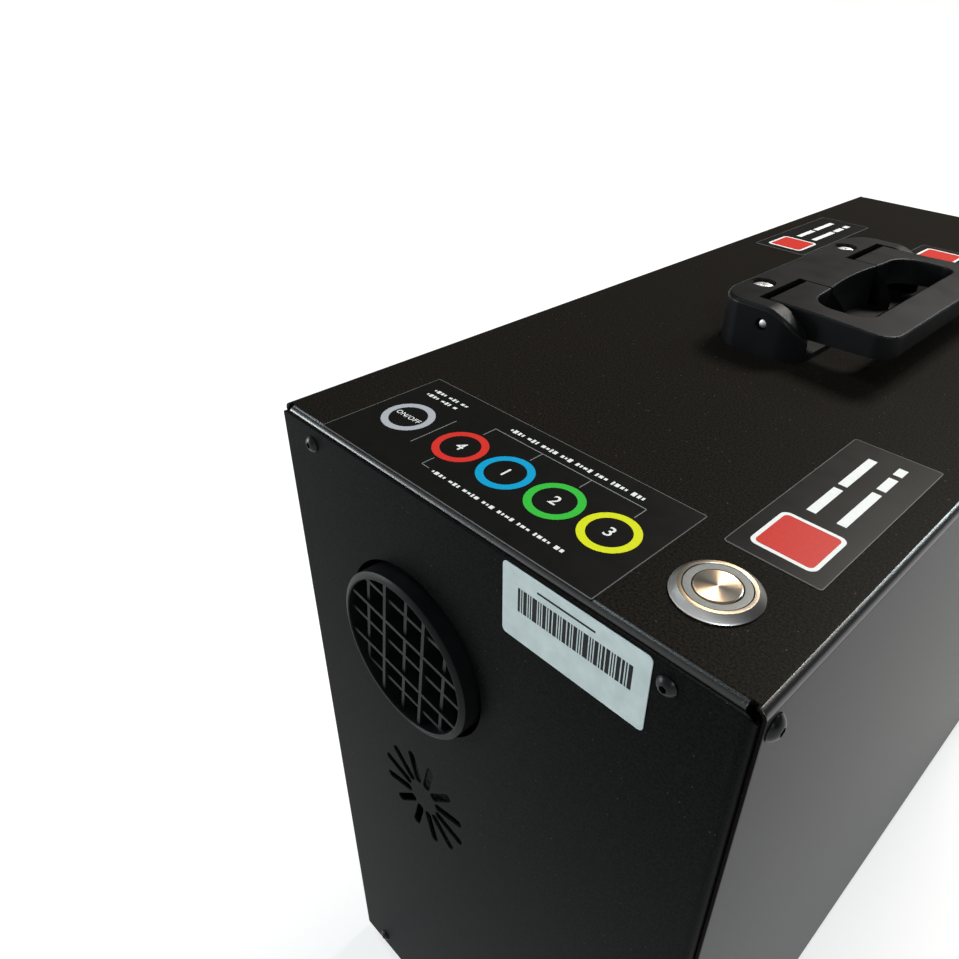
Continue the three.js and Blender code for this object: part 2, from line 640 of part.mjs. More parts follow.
function outletHood() {
  const front = FRONT - COLLAR_PROUD + COLLAR_DEPTH + GAP;
  const back = CASING_FRONT - GAP;
  const profile = [
    [COLLAR_BORE, front], [COLLAR_RADIUS + 1, front], [COLLAR_RADIUS + 1, front + 6],
    [57, back - 5], [57, back], [54, back], [54, back - 4], [COLLAR_BORE, front + 7],
    [COLLAR_BORE, front],
  ];
  return turned(profile, "y", HEATER_X, HEATER_Z);
}

// The plastic casing, split along the heater's axis into an upper and a lower shell.
function casing(upper) {
  const [w, h] = [CASING_WIDTH / 2, CASING_HEIGHT / 2];
  const outline = rounded(-w, w, -h, h, CASING_CORNER);
  const bore = [w - CASING_WALL, h - CASING_WALL, CASING_CORNER - CASING_WALL];
  outline.holes.push(rounded(-bore[0], bore[0], -bore[1], bore[1], bore[2]));
  const whole = plate(outline, "y", CASING_FRONT, CASING_REAR);
  const other = upper ? [-h - 1, GAP / 2] : [-GAP / 2, h + 1];
  const ports = [
    rod("z", PIPE_RADIUS + 1, -h - 1, 0, 0, EXHAUST_Y),
    rod("z", HOSE_RADIUS + 1, -h - 1, 0, 0, AIR_INLET_Y),
    rod("x", 3.2, 0, w + 1, LINE_HOLE_Y, -20, 12),
  ];
  return atHeater(cut(whole, block(-w - 1, w + 1, -REAR, REAR, ...other), ...ports));
}

// A cast exchanger: a closed-ended barrel with fins along it, open at the rear for the burner.
function heatExchanger() {
  const [front, rear, bore] = [-168, -22, EXCHANGER_RADIUS - 4];
  const profile = [
    [0, front], [22, front], [EXCHANGER_RADIUS, front + 14], [EXCHANGER_RADIUS, rear],
    [bore, rear], [bore, front + 16], [18, front + 4], [0, front + 4],
  ];
  const fins = Array.from({ length: FIN_COUNT }, (_, i) =>
    block(EXCHANGER_RADIUS - 1, FIN_RADIUS, front + 16, rear - 6, -1, 1)
      .rotate([0, (360 / FIN_COUNT) * (i + 0.5), 0]),
  );
  const port = rod("z", PIPE_RADIUS + 1, -FIN_RADIUS - 1, -EXCHANGER_RADIUS - GAP, 0, EXHAUST_Y);
  const plug = rod("z", 3.4, 30, FIN_RADIUS + 1, 0, GLOW_Y, 12);
  return atHeater(cut(join(turned(profile, "y", 0, 0), ...fins), port, plug));
}

// The burner tube, closed at its rear by the plate that seals the exchanger.
function burnerTube() {
  const [front, rear] = [-140, -21.7];
  const profile = [
    [22.5, front], [24, front], [24, rear], [46, rear], [46, rear + 4], [0, rear + 4],
    [0, rear], [22.5, rear], [22.5, front],
  ];
  const glow = rod("z", 3.6, 20, 40, 0, GLOW_Y, 12);
  return atHeater(cut(turned(profile, "y", 0, 0, 24), glow));
}

// The glow plug stands up through the exchanger's wall into the burner tube's mouth.
function glowPlug() {
  const profile = [
    [0, 10], [2, 10], [2, 22], [3, 22], [3, 33], [3, 54], [0, 54],
  ];
  return atHeater(turned(profile, "z", 0, GLOW_Y, 12));
}

// The plate between burner and motor, with the combustion fan's chamber open to the rear.
function blowerPlate() {
  const profile = [[0, -17.4], [50, -17.4], [50, 4], [31, 4], [31, -12], [0, -12]];
  const inlet = rod("z", 6, -51, -30, 0, AIR_INLET_Y, 16);
  return atHeater(cut(turned(profile, "y", 0, 0), inlet));
}

const fanMotor = () => {
  const profile = [
    [3.4, 4.3], [31.5, 4.3], [31.5, 7], [26, 7], [26, 46], [22, 50], [3.4, 50], [3.4, 4.3],
  ];
  return turned(profile, "y", HEATER_X, HEATER_Z, 24);
};

const rotorShaft = () => rod("y", 3, -11, 82, HEATER_X, HEATER_Z, 16);

// The combustion fan: a disc with radial vanes in front of it.
function combustionFan() {
  const disc = ring("y", 3.3, 28, -6, -3, 0, 0, 24);
  const vanes = Array.from({ length: VANE_COUNT }, (_, i) =>
    block(15, 28, -10, -5.5, -0.8, 0.8).rotate([0, (360 / VANE_COUNT) * i, 0]),
  );
  return atHeater(join(disc, ...vanes));
}

// The hot-air fan: a hub with pitched blades.
function hotAirFan() {
  const profile = [[3.3, 58], [17, 58], [20, 62], [20, 78], [3.3, 78], [3.3, 58]];
  const blades = Array.from({ length: BLADE_COUNT }, (_, i) =>
    block(18, 47, -9, 9, -0.9, 0.9)
      .rotate([32, 0, 0])
      .translate([0, 69, 0])
      .rotate([0, (360 / BLADE_COUNT) * i, 0]),
  );
  return atHeater(join(turned(profile, "y", 0, 0, 24), ...blades));
}

// The guard behind the hot-air fan: a shroud with a spoked grid across its rear.
function inletGuard() {
  const [front, rear] = [CASING_REAR + GAP, 94];
  const profile = [
    [50, front], [57, front], [57, front + 5], [53, rear], [50, rear], [50, front],
  ];
  const bars = [block(-51, 51, rear - 4, rear, -1, 1), block(-1, 1, rear - 4, rear, -51, 51)];
  const rings = [[14, 16], [31, 33]].map(([a, b]) => ring("y", a, b, rear - 4, rear, 0, 0, 16));
  return atHeater(join(turned(profile, "y", 0, 0), ...bars, ...rings));
}

const controlUnit = () => {
  const outline = rounded(-34, 34, 10, 55, 5);
  return atHeater(plate(outline, "z", 34, 55));
};

// ---- Pipes and the fuel system ----

function exhaustPipe() {
  const route = [
    [HEATER_X, EXHAUST_Y, HEATER_Z - EXCHANGER_RADIUS - 2 * GAP],
    [HEATER_X, EXHAUST_Y, 212],
    [HEATER_X - 3, EXHAUST_Y + 12, 190],
    [HEATER_X - 10, EXHAUST_Y + 40, PIPE_Z],
    [EXHAUST_X, 90, PIPE_Z],
    [EXHAUST_X, 170, PIPE_Z],
    [EXHAUST_X, REAR + REAR_PROUD, PIPE_Z],
  ];
  return tube(route, PIPE_RADIUS, PIPE_RADIUS - 1.2, 5, 12);
}

function combustionAirPipe() {
  const route = [
    [HEATER_X, AIR_INLET_Y, HEATER_Z - 50 - 2 * GAP],
    [HEATER_X, AIR_INLET_Y, 208],
    [HEATER_X + 2, AIR_INLET_Y + 10, 192],
    [HEATER_X + 8, AIR_INLET_Y + 34, PIPE_Z],
    [AIR_PIPE_X, 90, PIPE_Z],
    [AIR_PIPE_X, 170, PIPE_Z],
    [AIR_PIPE_X, REAR + REAR_PROUD - 6, PIPE_Z],
  ];
  return tube(route, HOSE_RADIUS - 0.5, HOSE_RADIUS - 3, 5, 12);
}

// The tank: a moulded block with rounded upright edges and a step round its top.
function fuelTank() {
  const { x, y0, y1, z0, z1, corner } = TANK;
  const body = plate(rounded(-x, x, y0, y1, corner), "z", z0, z1 - 8);
  const crown = plate(rounded(-x + 6, x - 6, y0 + 6, y1 - 6, corner - 4), "z", z0, z1);
  const boss = rod("z", FILLER_RADIUS + 4, z1 - 20, z1 + 6, FILLER_X, TANK_NECK_Y, 24);
  const well = rod("z", FILLER_RADIUS + 1, z1 - 6, z1 + 7, FILLER_X, TANK_NECK_Y, 24);
  return cut(join(body, crown, boss), well);
}

// The filler neck: an elbow from the tank's boss to a flanged mouth in the rear panel.
function fillerNeck() {
  const route = [
    [FILLER_X, TANK_NECK_Y, TANK.z1 - 5],
    [FILLER_X, TANK_NECK_Y, TANK.z1 + 8],
    [FILLER_X, TANK_NECK_Y + 14, FILLER_Z - 6],
    [FILLER_X, TANK_NECK_Y + 44, FILLER_Z],
    [FILLER_X, REAR - 40, FILLER_Z],
    [FILLER_X, REAR + 3, FILLER_Z],
  ];
  const elbow = tube(route, FILLER_RADIUS - 0.2, FILLER_BORE, 6, 9);
  const flange = ring("y", FILLER_BORE + 0.3, 24, REAR, REAR + 3, FILLER_X, FILLER_Z, 24);
  return join(elbow, flange);
}

// The cap: a plug in the neck under a head with finger grips round it.
function fillerCap() {
  const face = REAR + 3 + GAP;
  const profile = [
    [0, face - 14], [FILLER_BORE - 1.4, face - 14], [FILLER_BORE - 1.4, face],
    [FILLER_CAP, face], [FILLER_CAP, face + 11], [FILLER_CAP - 2.5, face + 13.5],
    [0, face + 13.5],
  ];
  const scallops = Array.from({ length: 10 }, (_, i) =>
    rod("y", 3, face - 1, face + 20, FILLER_CAP + 1, 0, 8).rotate([0, 36 * i, 0]),
  );
  const bar = block(-FILLER_CAP + 4, FILLER_CAP - 4, face + 13, face + 17, -3, 3);
  const head = cut(join(turned(profile, "y", 0, 0), bar), ...scallops);
  return head.translate([FILLER_X, 0, FILLER_Z]);
}

function fuelPickup() {
  const z = TANK.z1;
  const profile = [[0, z], [11, z], [11, z + 3], [5, z + 4], [2.4, z + 4], [2.4, z + 14], [0, z + 14]];
  return turned(profile, "z", PUMP_X, PICKUP_Y, 16);
}

// The dosing pump: a turned barrel with a nozzle at each end.
function fuelPump() {
  const profile = [
    [0, -46], [2.4, -46], [2.4, -36], [9, -34], [9, -26], [15, -24], [15, 24], [9, 26], [9, 34],
    [2.4, 36], [2.4, 46], [0, 46],
  ];
  return turned(profile, "y", 0, 0, 20).translate([PUMP_X, PUMP_Y, PUMP_Z]);
}

// A strap round the pump that hangs from the shelf.
function pumpBracket() {
  const strap = ring("y", 15.3, 17.5, PUMP_Y - 8, PUMP_Y + 8, PUMP_X, PUMP_Z, 20);
  const [y0, y1] = [PUMP_Y - 8, PUMP_Y + 8];
  const top = SHELF_Z - GAP;
  const tab = block(PUMP_X - 1, PUMP_X + 1, y0, y1, PUMP_Z + 16, top - 1);
  return join(strap, tab, block(PUMP_X - 10, PUMP_X + 10, y0, y1, top - 1.5, top));
}

function fuelLineSuction() {
  const start = TANK.z1 + 14 + GAP;
  const route = [
    [PUMP_X, PICKUP_Y, start],
    [PUMP_X, PICKUP_Y, start + 8],
    [PUMP_X, PICKUP_Y + 6, PUMP_Z - 3],
    [PUMP_X, PICKUP_Y + 16, PUMP_Z],
    [PUMP_X, PUMP_Y - 46 - GAP, PUMP_Z],
  ];
  return tube(route, 2.5, 0, 3, 18);
}

function fuelLinePressure() {
  const route = [
    [PUMP_X, PUMP_Y + 46 + GAP, PUMP_Z],
    [PUMP_X, PUMP_Y + 60, PUMP_Z],
    [PUMP_X, LINE_HOLE_Y, PUMP_Z + 14],
    [PUMP_X, LINE_HOLE_Y, SHELF_Z + 4],
    [PUMP_X - 2, LINE_HOLE_Y, HEATER_Z - 32],
    [PUMP_X - 14, LINE_HOLE_Y, HEATER_Z - 20],
    [HEATER_X + CASING_WIDTH / 2 - 2, LINE_HOLE_Y, HEATER_Z - 20],
  ];
  return tube(route, 2.5, 0, 3, 26);
}

// ---- Rear fittings ----

// The room-air grille: a flanged ring in the rear panel with rings and spokes across it.
function intakeGrille() {
  const rim = [
    [44, REAR - 12], [GRILLE_HOLE, REAR - 12], [GRILLE_HOLE, REAR], [53, REAR],
    [53, REAR + 1.5], [51, REAR + 3], [44, REAR + 3], [44, REAR - 12],
  ];
  const bars = [0, 60, 120].map((turn) =>
    block(-45, 45, REAR - 3, REAR + 2, -1, 1).rotate([0, turn, 0]),
  );
  const rings = [11, 22, 33].map((radius) =>
    ring("y", radius, radius + 2, REAR - 2, REAR + 2, 0, 0, 16),
  );
  return atHeater(join(turned(rim, "y", 0, 0), ...bars, ...rings));
}

// The power socket: a shroud through the rear panel round two flat pins.
function powerSocket() {
  const [w, h] = [SOCKET_WIDTH / 2, SOCKET_DEPTH / 2];
  const body = block(-w, w, REAR - 22, REAR + 2, -h, h);
  const flange = block(-w - 7, w + 7, REAR, REAR + 2, -h - 4, h + 4);
  const well = block(-w + 3, w - 3, REAR - 12, REAR + 3, -h + 3, h - 3);
  const pins = [-5, 5].map((x) => block(x - 0.8, x + 0.8, REAR - 13, REAR - 3, -2.5, 2.5));
  return join(cut(join(body, flange), well), ...pins).translate([SOCKET_X, 0, SOCKET_Z]);
}

// ---- Assembly ----

const heater = new THREE.Group();

// Adds a piece to the assembly as its own named mesh.
function add(name, body, look) {
  const mesh = new THREE.Mesh(geometryOf(body), look);
  mesh.name = name;
  heater.add(mesh);
}

add("cover", cover(), powderBlack);
add("front_panel", frontPanel(), powderBlack);
add("rear_panel", rearPanel(), powderBlack);
add("base_tray", baseTray(), powderBlack);
add("divider_shelf", dividerShelf(), powderBlack);
for (const [corner, x, y] of footPlaces) add("foot_" + corner, foot(x, y), rubberBlack);
for (const [name, ...place] of screwPlaces) add(name, buttonScrew(...place), screwBlack);

add("legend_film", topFilm(LEGEND), filmBlack);
add("notice_film", topFilm(NOTICE), filmBlack);
add("front_label", frontLabel(), labelWhite);

add("button_bezel", buttonBezel(), stainless);
add("button_light_ring", buttonRing(), lightGrey);
add("button_cap", buttonCap(), stainless);
add("button_nut", buttonNut(), zincSteel);

add("handle_base", handleBase(), plasticBlack);
add("handle_bail", handleBail(), plasticBlack);
for (const [place, end] of [["front", -1], ["rear", 1]]) {
  add("handle_pin_" + place, handlePin(end), zincSteel);
  add("handle_screw_" + place, handleScrew(end), zincSteel);
}

add("outlet_collar", outletCollar(), plasticBlack);
add("outlet_hood", outletHood(), plasticBlack);
add("heater_casing_upper", casing(true), shellGrey);
add("heater_casing_lower", casing(false), shellGrey);
add("heat_exchanger", heatExchanger(), castAluminium);
add("burner_tube", burnerTube(), stainless);
add("glow_plug", glowPlug(), zincSteel);
add("blower_plate", blowerPlate(), castAluminium);
add("fan_motor", fanMotor(), zincSteel);
add("rotor_shaft", rotorShaft(), stainless);
add("combustion_fan", combustionFan(), plasticBlack);
add("hot_air_fan", hotAirFan(), plasticBlack);
add("inlet_guard", inletGuard(), plasticBlack);
add("control_unit", controlUnit(), shellGrey);

add("exhaust_pipe", exhaustPipe(), stainless);
add("combustion_air_pipe", combustionAirPipe(), rubberBlack);
add("fuel_tank", fuelTank(), tankPlastic);
add("filler_neck", fillerNeck(), plasticBlack);
add("filler_cap", fillerCap(), plasticBlack);
add("fuel_pickup", fuelPickup(), plasticBlack);
add("fuel_pump", fuelPump(), zincSteel);
add("pump_bracket", pumpBracket(), zincSteel);
add("fuel_line_suction", fuelLineSuction(), fuelLineBlue);
add("fuel_line_pressure", fuelLinePressure(), fuelLineBlue);

add("intake_grille", intakeGrille(), plasticBlack);
add("power_socket", powerSocket(), plasticBlack);

// The origin is the middle of the whole part's length and width, on the floor.
heater.position.y = -ORIGIN_SHIFT;
heater.updateMatrixWorld(true);

export default heater;
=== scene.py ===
"""A portable diesel air heater: the looks of its case, handle, button, outlet and fittings.

Everything is in metres in the part's own frame: +Z up, the front panel facing -Y.
"""
import json
import math

import bmesh
import bpy
from bmesh.types import BMEdge, BMFace, BMVert
from mathutils import Matrix, Vector
from mathutils.geometry import interpolate_bezier

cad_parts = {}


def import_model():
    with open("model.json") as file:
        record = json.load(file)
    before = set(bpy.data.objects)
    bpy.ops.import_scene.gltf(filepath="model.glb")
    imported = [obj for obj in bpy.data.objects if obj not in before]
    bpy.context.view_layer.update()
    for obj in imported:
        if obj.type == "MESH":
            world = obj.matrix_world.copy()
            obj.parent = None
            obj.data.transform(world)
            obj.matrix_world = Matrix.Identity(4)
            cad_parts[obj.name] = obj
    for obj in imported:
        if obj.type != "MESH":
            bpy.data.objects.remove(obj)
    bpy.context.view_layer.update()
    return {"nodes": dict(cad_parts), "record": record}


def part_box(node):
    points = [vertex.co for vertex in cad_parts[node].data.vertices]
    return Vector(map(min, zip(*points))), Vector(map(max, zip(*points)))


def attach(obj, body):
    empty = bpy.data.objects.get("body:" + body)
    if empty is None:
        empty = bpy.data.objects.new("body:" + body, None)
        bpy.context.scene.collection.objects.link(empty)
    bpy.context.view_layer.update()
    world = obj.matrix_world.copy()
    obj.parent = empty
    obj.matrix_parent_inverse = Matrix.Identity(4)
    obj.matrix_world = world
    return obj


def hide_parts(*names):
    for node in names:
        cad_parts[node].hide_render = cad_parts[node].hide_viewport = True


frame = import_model()

# ---- Sizes, from the frame and from the sheet metal ----

MM = 0.001
TINY = 1e-6
SHEET = 1.2 * MM
BEND = 2.8 * MM  # outer radius of every bend
BEND_STEPS = 8
RELIEF = 4.8 * MM  # how far the cover's end flanges stop short of its sides
SIDE_SETBACK = 3.0 * MM  # from an end panel's face to the edge of the cover's sides
FLANGE = 15.0 * MM
RETURN = 20.0 * MM
PANEL_CORNER = 3.5 * MM
EDGE = 0.25 * MM  # rounding of a cut sheet edge

cover_low, cover_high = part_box("cover")
panel_low, panel_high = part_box("front_panel")
SIDE = cover_high.x
TOP = cover_high.z
FRONT = panel_low.y
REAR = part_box("rear_panel")[1].y
MIDDLE = (FRONT + REAR) / 2
AXES = {"x": Vector((1, 0, 0)), "y": Vector((0, 1, 0)), "z": Vector((0, 0, 1))}
NODE_SLOTS = {part["node"]: part["material_slot"] for part in frame["record"]["subparts"]}


def middle_of(node):
    """The centre of a CAD node's box."""
    low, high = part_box(node)
    return (low + high) / 2


def round_part(node):
    """A CAD node's box, with the centre and the radius that it shows along Y."""
    low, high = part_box(node)
    return low, high, (low.x + high.x) / 2, (low.z + high.z) / 2, (high.x - low.x) / 2


# ---- Mesh tools ----


def added(name, data):
    """A new object in the scene."""
    item = bpy.data.objects.new(name, data)
    bpy.context.scene.collection.objects.link(item)
    return item


def mesh_of(bm, name="work"):
    """A bmesh written out as a mesh, and freed."""
    mesh = bpy.data.meshes.new(name)
    bm.to_mesh(mesh)
    bm.free()
    return mesh


def final_shape(item):
    """The shape that an object's modifiers or curve settings give, and the object removed."""
    graph = bpy.context.evaluated_depsgraph_get()
    result = bmesh.new()
    result.from_mesh(item.evaluated_get(graph).to_mesh())
    bpy.data.objects.remove(item)
    return result


def baked(bm, kind, **settings):
    """The mesh after one modifier."""
    mesh = mesh_of(bm)
    holder = added("work", mesh)
    modifier = holder.modifiers.new(kind, kind)
    for key, value in settings.items():
        setattr(modifier, key, value)
    result = final_shape(holder)
    bpy.data.meshes.remove(mesh)
    return result


def walled(bm, thickness):
    """Gives a surface a wall on its inner side."""
    return baked(bm, "SOLIDIFY", thickness=thickness, offset=-1, use_even_offset=True)


def gathered(meshes):
    """Several bmeshes as one, and the loose ones freed."""
    whole = bmesh.new()
    for bm in meshes:
        mesh = mesh_of(bm)
        whole.from_mesh(mesh)
        bpy.data.meshes.remove(mesh)
    return whole


def cleaned(bm):
    """Merges doubled points and drops edges without a length."""
    bmesh.ops.remove_doubles(bm, verts=bm.verts, dist=TINY)
    bmesh.ops.dissolve_degenerate(bm, edges=bm.edges, dist=TINY)
    return bm


def combined(bm, tools, operation):
    """An exact boolean of a closed mesh with closed tools."""
    cutter = added("tool", mesh_of(gathered(tools)))
    result = baked(bm, "BOOLEAN", object=cutter, operation=operation, solver="EXACT", use_self=True)
    bpy.data.objects.remove(cutter)
    return cleaned(result)


def carved(bm, *tools):
    return combined(bm, tools, "DIFFERENCE")


def fused(bm, *others):
    return combined(bm, others, "UNION")


def only(items, kind):
    """The verts, edges or faces among what an operator made."""
    return [item for item in items if isinstance(item, kind)]


def soften(bm, radius, segments, angle, where):
    """Rounds the sharp edges whose middles pass a test."""
    limit = math.radians(angle)
    edges = [
        edge for edge in bm.edges
        if len(edge.link_faces) == 2 and edge.calc_face_angle(0) > limit
        and where((edge.verts[0].co + edge.verts[1].co) / 2)
    ]
    bmesh.ops.bevel(
        bm, geom=edges, offset=radius, offset_type="OFFSET", segments=segments,
        profile=0.5, affect="EDGES", clamp_overlap=True, material=-1,
    )


def placed(axis, a, b, along):
    """A point from its place across Y or Z and along it."""
    return (a, along, b) if axis == "y" else (a, b, along)


def face_of(points, axis, along, segments=6):
    """A flat face across an axis, from (a, b, corner radius) points."""
    bm = bmesh.new()
    verts = [bm.verts.new(placed(axis, a, b, along)) for a, b, _ in points]
    bm.faces.new(verts)
    for vert, (_, _, radius) in zip(verts, points):
        if radius:
            bmesh.ops.bevel(
                bm, geom=[vert], offset=radius, offset_type="OFFSET", segments=segments,
                profile=0.5, affect="VERTICES", material=-1,
            )
    return bm


def prism(points, axis, start, end, segments=6):
    """A solid whose outline lies across an axis and runs along it from start to end."""
    bm = face_of(points, axis, start, segments)
    drawn = bmesh.ops.extrude_face_region(bm, geom=bm.faces[:])["geom"]
    bmesh.ops.translate(bm, verts=only(drawn, BMVert), vec=placed(axis, 0, 0, end - start))
    bmesh.ops.recalc_face_normals(bm, faces=bm.faces)
    return bm


def corners(x0, x1, y0, y1, radius=0.0):
    """The outline of a rectangle with rounded corners."""
    return [(x0, y0, radius), (x1, y0, radius), (x1, y1, radius), (x0, y1, radius)]


def oblong(x, y, wide, tall, radius=0.0):
    """The same about a centre, from half its width and half its height."""
    return corners(x - wide, x + wide, y - tall, y + tall, radius)


def block(x0, x1, y0, y1, z0, z1):
    return prism(corners(x0, x1, y0, y1), "z", z0, z1)


def turned(profile, axis, a=0.0, b=0.0, segments=64):
    """A lathe shape about an axis through (a, b), from (radius, along) pairs.

    A profile that starts on the axis also ends there, and stays open between the two.
    """
    bm = bmesh.new()
    centre = Vector(placed(axis, a, b, 0))
    verts = [bm.verts.new(centre + AXES["x"] * radius + AXES[axis] * along) for radius, along in profile]
    following = verts[1:] if profile[0][0] == 0 else verts[1:] + verts[:1]
    for pair in zip(verts, following):
        bm.edges.new(pair)
    bmesh.ops.spin(
        bm, geom=bm.verts[:] + bm.edges[:], cent=centre, axis=AXES[axis],
        angle=2 * math.pi, steps=segments, use_merge=True,
    )
    cleaned(bm)
    bmesh.ops.recalc_face_normals(bm, faces=bm.faces)
    return bm


def rod(axis, radius, start, end, a, b, segments=48):
    return turned([(0, start), (radius, start), (radius, end), (0, end)], axis, a, b, segments)


def ring(axis, inner, outer, start, end, a, b, segments=96):
    profile = [(inner, start), (outer, start), (outer, end), (inner, end)]
    return turned(profile, axis, a, b, segments)


def moved(bm, matrix):
    bmesh.ops.transform(bm, matrix=matrix, verts=bm.verts)
    return bm


def about(centre, axis, degrees):
    """A turn about an axis through a point."""
    centre = Vector(centre)
    turn = Matrix.Rotation(math.radians(degrees), 4, AXES[axis])
    return Matrix.Translation(centre) @ turn @ Matrix.Translation(-centre)


def fold(bm, edges, centre, axis):
    """Bends a sheet's edges a quarter turn round an axis and gives the edges it ends on."""
    spun = bmesh.ops.spin(
        bm, geom=edges, cent=centre, axis=axis, angle=math.pi / 2, steps=BEND_STEPS
    )
    return only(spun["geom_last"], BMEdge)


def draw(bm, edges, way):
    """Draws a sheet's edges out by a vector."""
    made = bmesh.ops.extrude_edge_only(bm, edges=edges)["geom"]
    bmesh.ops.translate(bm, verts=only(made, BMVert), vec=way)


def edges_where(bm, test):
    """The edges whose two ends both pass a test."""
    return [edge for edge in bm.edges if all(test(vert.co) for vert in edge.verts)]


def thick_sheet(bm, seen, way):
    """Gives a folded surface the sheet's thickness, inwards from the side that faces way."""
    bmesh.ops.remove_doubles(bm, verts=bm.verts, dist=TINY)
    bmesh.ops.recalc_face_normals(bm, faces=bm.faces)
    face = max(bm.faces, key=lambda f: f.calc_area() if seen(f.calc_center_median()) else 0)
    if face.normal.dot(way) < 0:
        bmesh.ops.reverse_faces(bm, faces=bm.faces)
    return walled(bm, SHEET)


def finished(name, bm, looks, node=None, body="root", edge=0.0, smooth=32):
    """Makes a mesh a piece that rides on a body, stands for a CAD node and wears its materials.
    """
    mesh = mesh_of(bm, name)
    mesh.shade_smooth()
    piece = added(name, mesh)
    for look in looks if isinstance(looks, list) else [looks]:
        mesh.materials.append(look)
    if edge:
        bevel = piece.modifiers.new("rounded_edges", "BEVEL")
        bevel.width = edge
        bevel.segments = 2
        bevel.limit_method = "ANGLE"
        bevel.angle_limit = math.radians(smooth)
        bevel.use_clamp_overlap = True
    else:
        mesh.set_sharp_from_angle(angle=math.radians(smooth))
    normals = piece.modifiers.new("weighted_normals", "WEIGHTED_NORMAL")
    normals.keep_sharp = True
    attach(piece, body)
    if node:
        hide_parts(node)


# ---- Materials: the sizes and depths of their patterns are in millimetres ----

NOISE_SPAN = (0.3, 0.7)  # nearly all of a noise lies between these
PALE_SPECK = (0.09, 0.08, 0.065)
SPECK_SHARE = (0.66, 0.72)  # a speck shows only where a wide noise rises past these
SPECK_EDGE = (0.16, 0.08)  # from a speck's rim to its middle, in its pattern's distances
LATHE_RING = (0.3, 0.28, 0.26)


def feed(tree, value, socket):
    """Links a socket to the one that feeds it, or sets it. Colours have no alpha here."""
    if isinstance(value, bpy.types.NodeSocket):
        tree.links.new(value, socket)
    else:
        socket.default_value = (*value, 1) if socket.type == "RGBA" else value


def add_node(tree, kind, inputs=(), **settings):
    """A new node with its settings, and its inputs as values or as the sockets that feed them."""
    node = tree.nodes.new("ShaderNode" + kind)
    for key, value in settings.items():
        setattr(node, key, value)
    for key, value in dict(inputs).items():
        feed(tree, value, node.inputs[key])
    return node


def ranged(tree, value, low, high, to_low=0.0, to_high=1.0):
    """A value carried over from one range to another."""
    inputs = {"Value": value, "From Min": low, "From Max": high, "To Min": to_low, "To Max": to_high}
    return add_node(tree, "MapRange", inputs).outputs["Result"]


def reckoned(tree, operation, first, second):
    """What a Math node makes of two values."""
    return add_node(tree, "Math", {0: first, 1: second}, operation=operation).outputs[0]


class Look:
    """A procedural material: Object coordinates feed its colour, gloss and relief."""

    def __init__(self, name, color, roughness, metallic=0.0, specular=0.5):
        self.material = bpy.data.materials.new(name)
        self.material.use_nodes = True
        self.tree = self.material.node_tree
        self.shader = self.tree.nodes["Principled BSDF"]
        self.color = color
        self.roughness = roughness
        self.set("Base Color", color)
        self.set("Roughness", roughness)
        self.set("Metallic", metallic)
        self.set("Specular IOR Level", specular)
        self.place = self.node("TexCoord").outputs["Object"]

    def set(self, socket, value):
        """Sets one of the shader's sockets, or links it to what feeds it."""
        feed(self.tree, value, self.shader.inputs[socket])

    def node(self, kind, inputs=(), **settings):
        return add_node(self.tree, kind, inputs, **settings)

    def mapped(self, location=(0, 0, 0), scale=(1, 1, 1)):
        """Object coordinates measured from a point and stretched."""
        shift = [-l * s for l, s in zip(location, scale)]
        inputs = {"Vector": self.place, "Location": shift, "Scale": scale}
        return self.node("Mapping", inputs, vector_type="POINT").outputs["Vector"]

    def noise(self, size, detail=2.0, place=None):
        """Noise whose grains are about a size across, from 0 to 1."""
        inputs = {"Vector": place or self.place, "Scale": 1 / (size * MM), "Detail": detail}
        return self.node("TexNoise", inputs).outputs["Fac"]

    def mix(self, share, first, second):
        """A colour between two, by a share. Each is a colour or a socket."""
        node = self.node("Mix", {"Factor": share}, data_type="RGBA")
        ends = [socket for socket in node.inputs if socket.type == "RGBA"]
        feed(self.tree, first, ends[0])
        feed(self.tree, second, ends[1])
        return next(socket for socket in node.outputs if socket.type == "RGBA")

    def mottle(self, size, spread):
        """Lets the colour wander by a share, in patches of a size."""
        share = ranged(self.tree, self.noise(size, 3.0), *NOISE_SPAN)
        darker = [c * (1 - spread) for c in self.color]
        lighter = [min(1.0, c * (1 + spread)) for c in self.color]
        color = self.mix(share, darker, lighter)
        self.set("Base Color", color)
        return color

    def uneven_gloss(self, spread, pattern):
        """Lets the roughness wander by a spread, after a pattern."""
        low, high = self.roughness - spread, self.roughness + spread
        self.set("Roughness", ranged(self.tree, pattern, *NOISE_SPAN, low, high))

    def relief(self, height, depth, strength):
        """Raises the surface by a height field of a depth, over the relief that it has."""
        bump = self.node("Bump", {"Height": height, "Distance": depth * MM, "Strength": strength})
        normal = self.shader.inputs["Normal"]
        if normal.is_linked:
            feed(self.tree, normal.links[0].from_socket, bump.inputs["Normal"])
        feed(self.tree, bump.outputs["Normal"], normal)


def finish(name, color, roughness, patches, reliefs, gloss=None, metallic=0.0, specular=0.5):
    """A finish with patches of colour and of gloss over fine reliefs.

    Patches and gloss are each a size and a spread. A relief is a size, a detail, a depth
    and a strength.
    """
    look = Look(name, color, roughness, metallic, specular)
    look.mottle(*patches)
    if gloss:
        size, spread = gloss
        look.uneven_gloss(spread, look.noise(size))
    for size, detail, depth, strength in reliefs:
        look.relief(look.noise(size, detail), depth, strength)
    return look.material


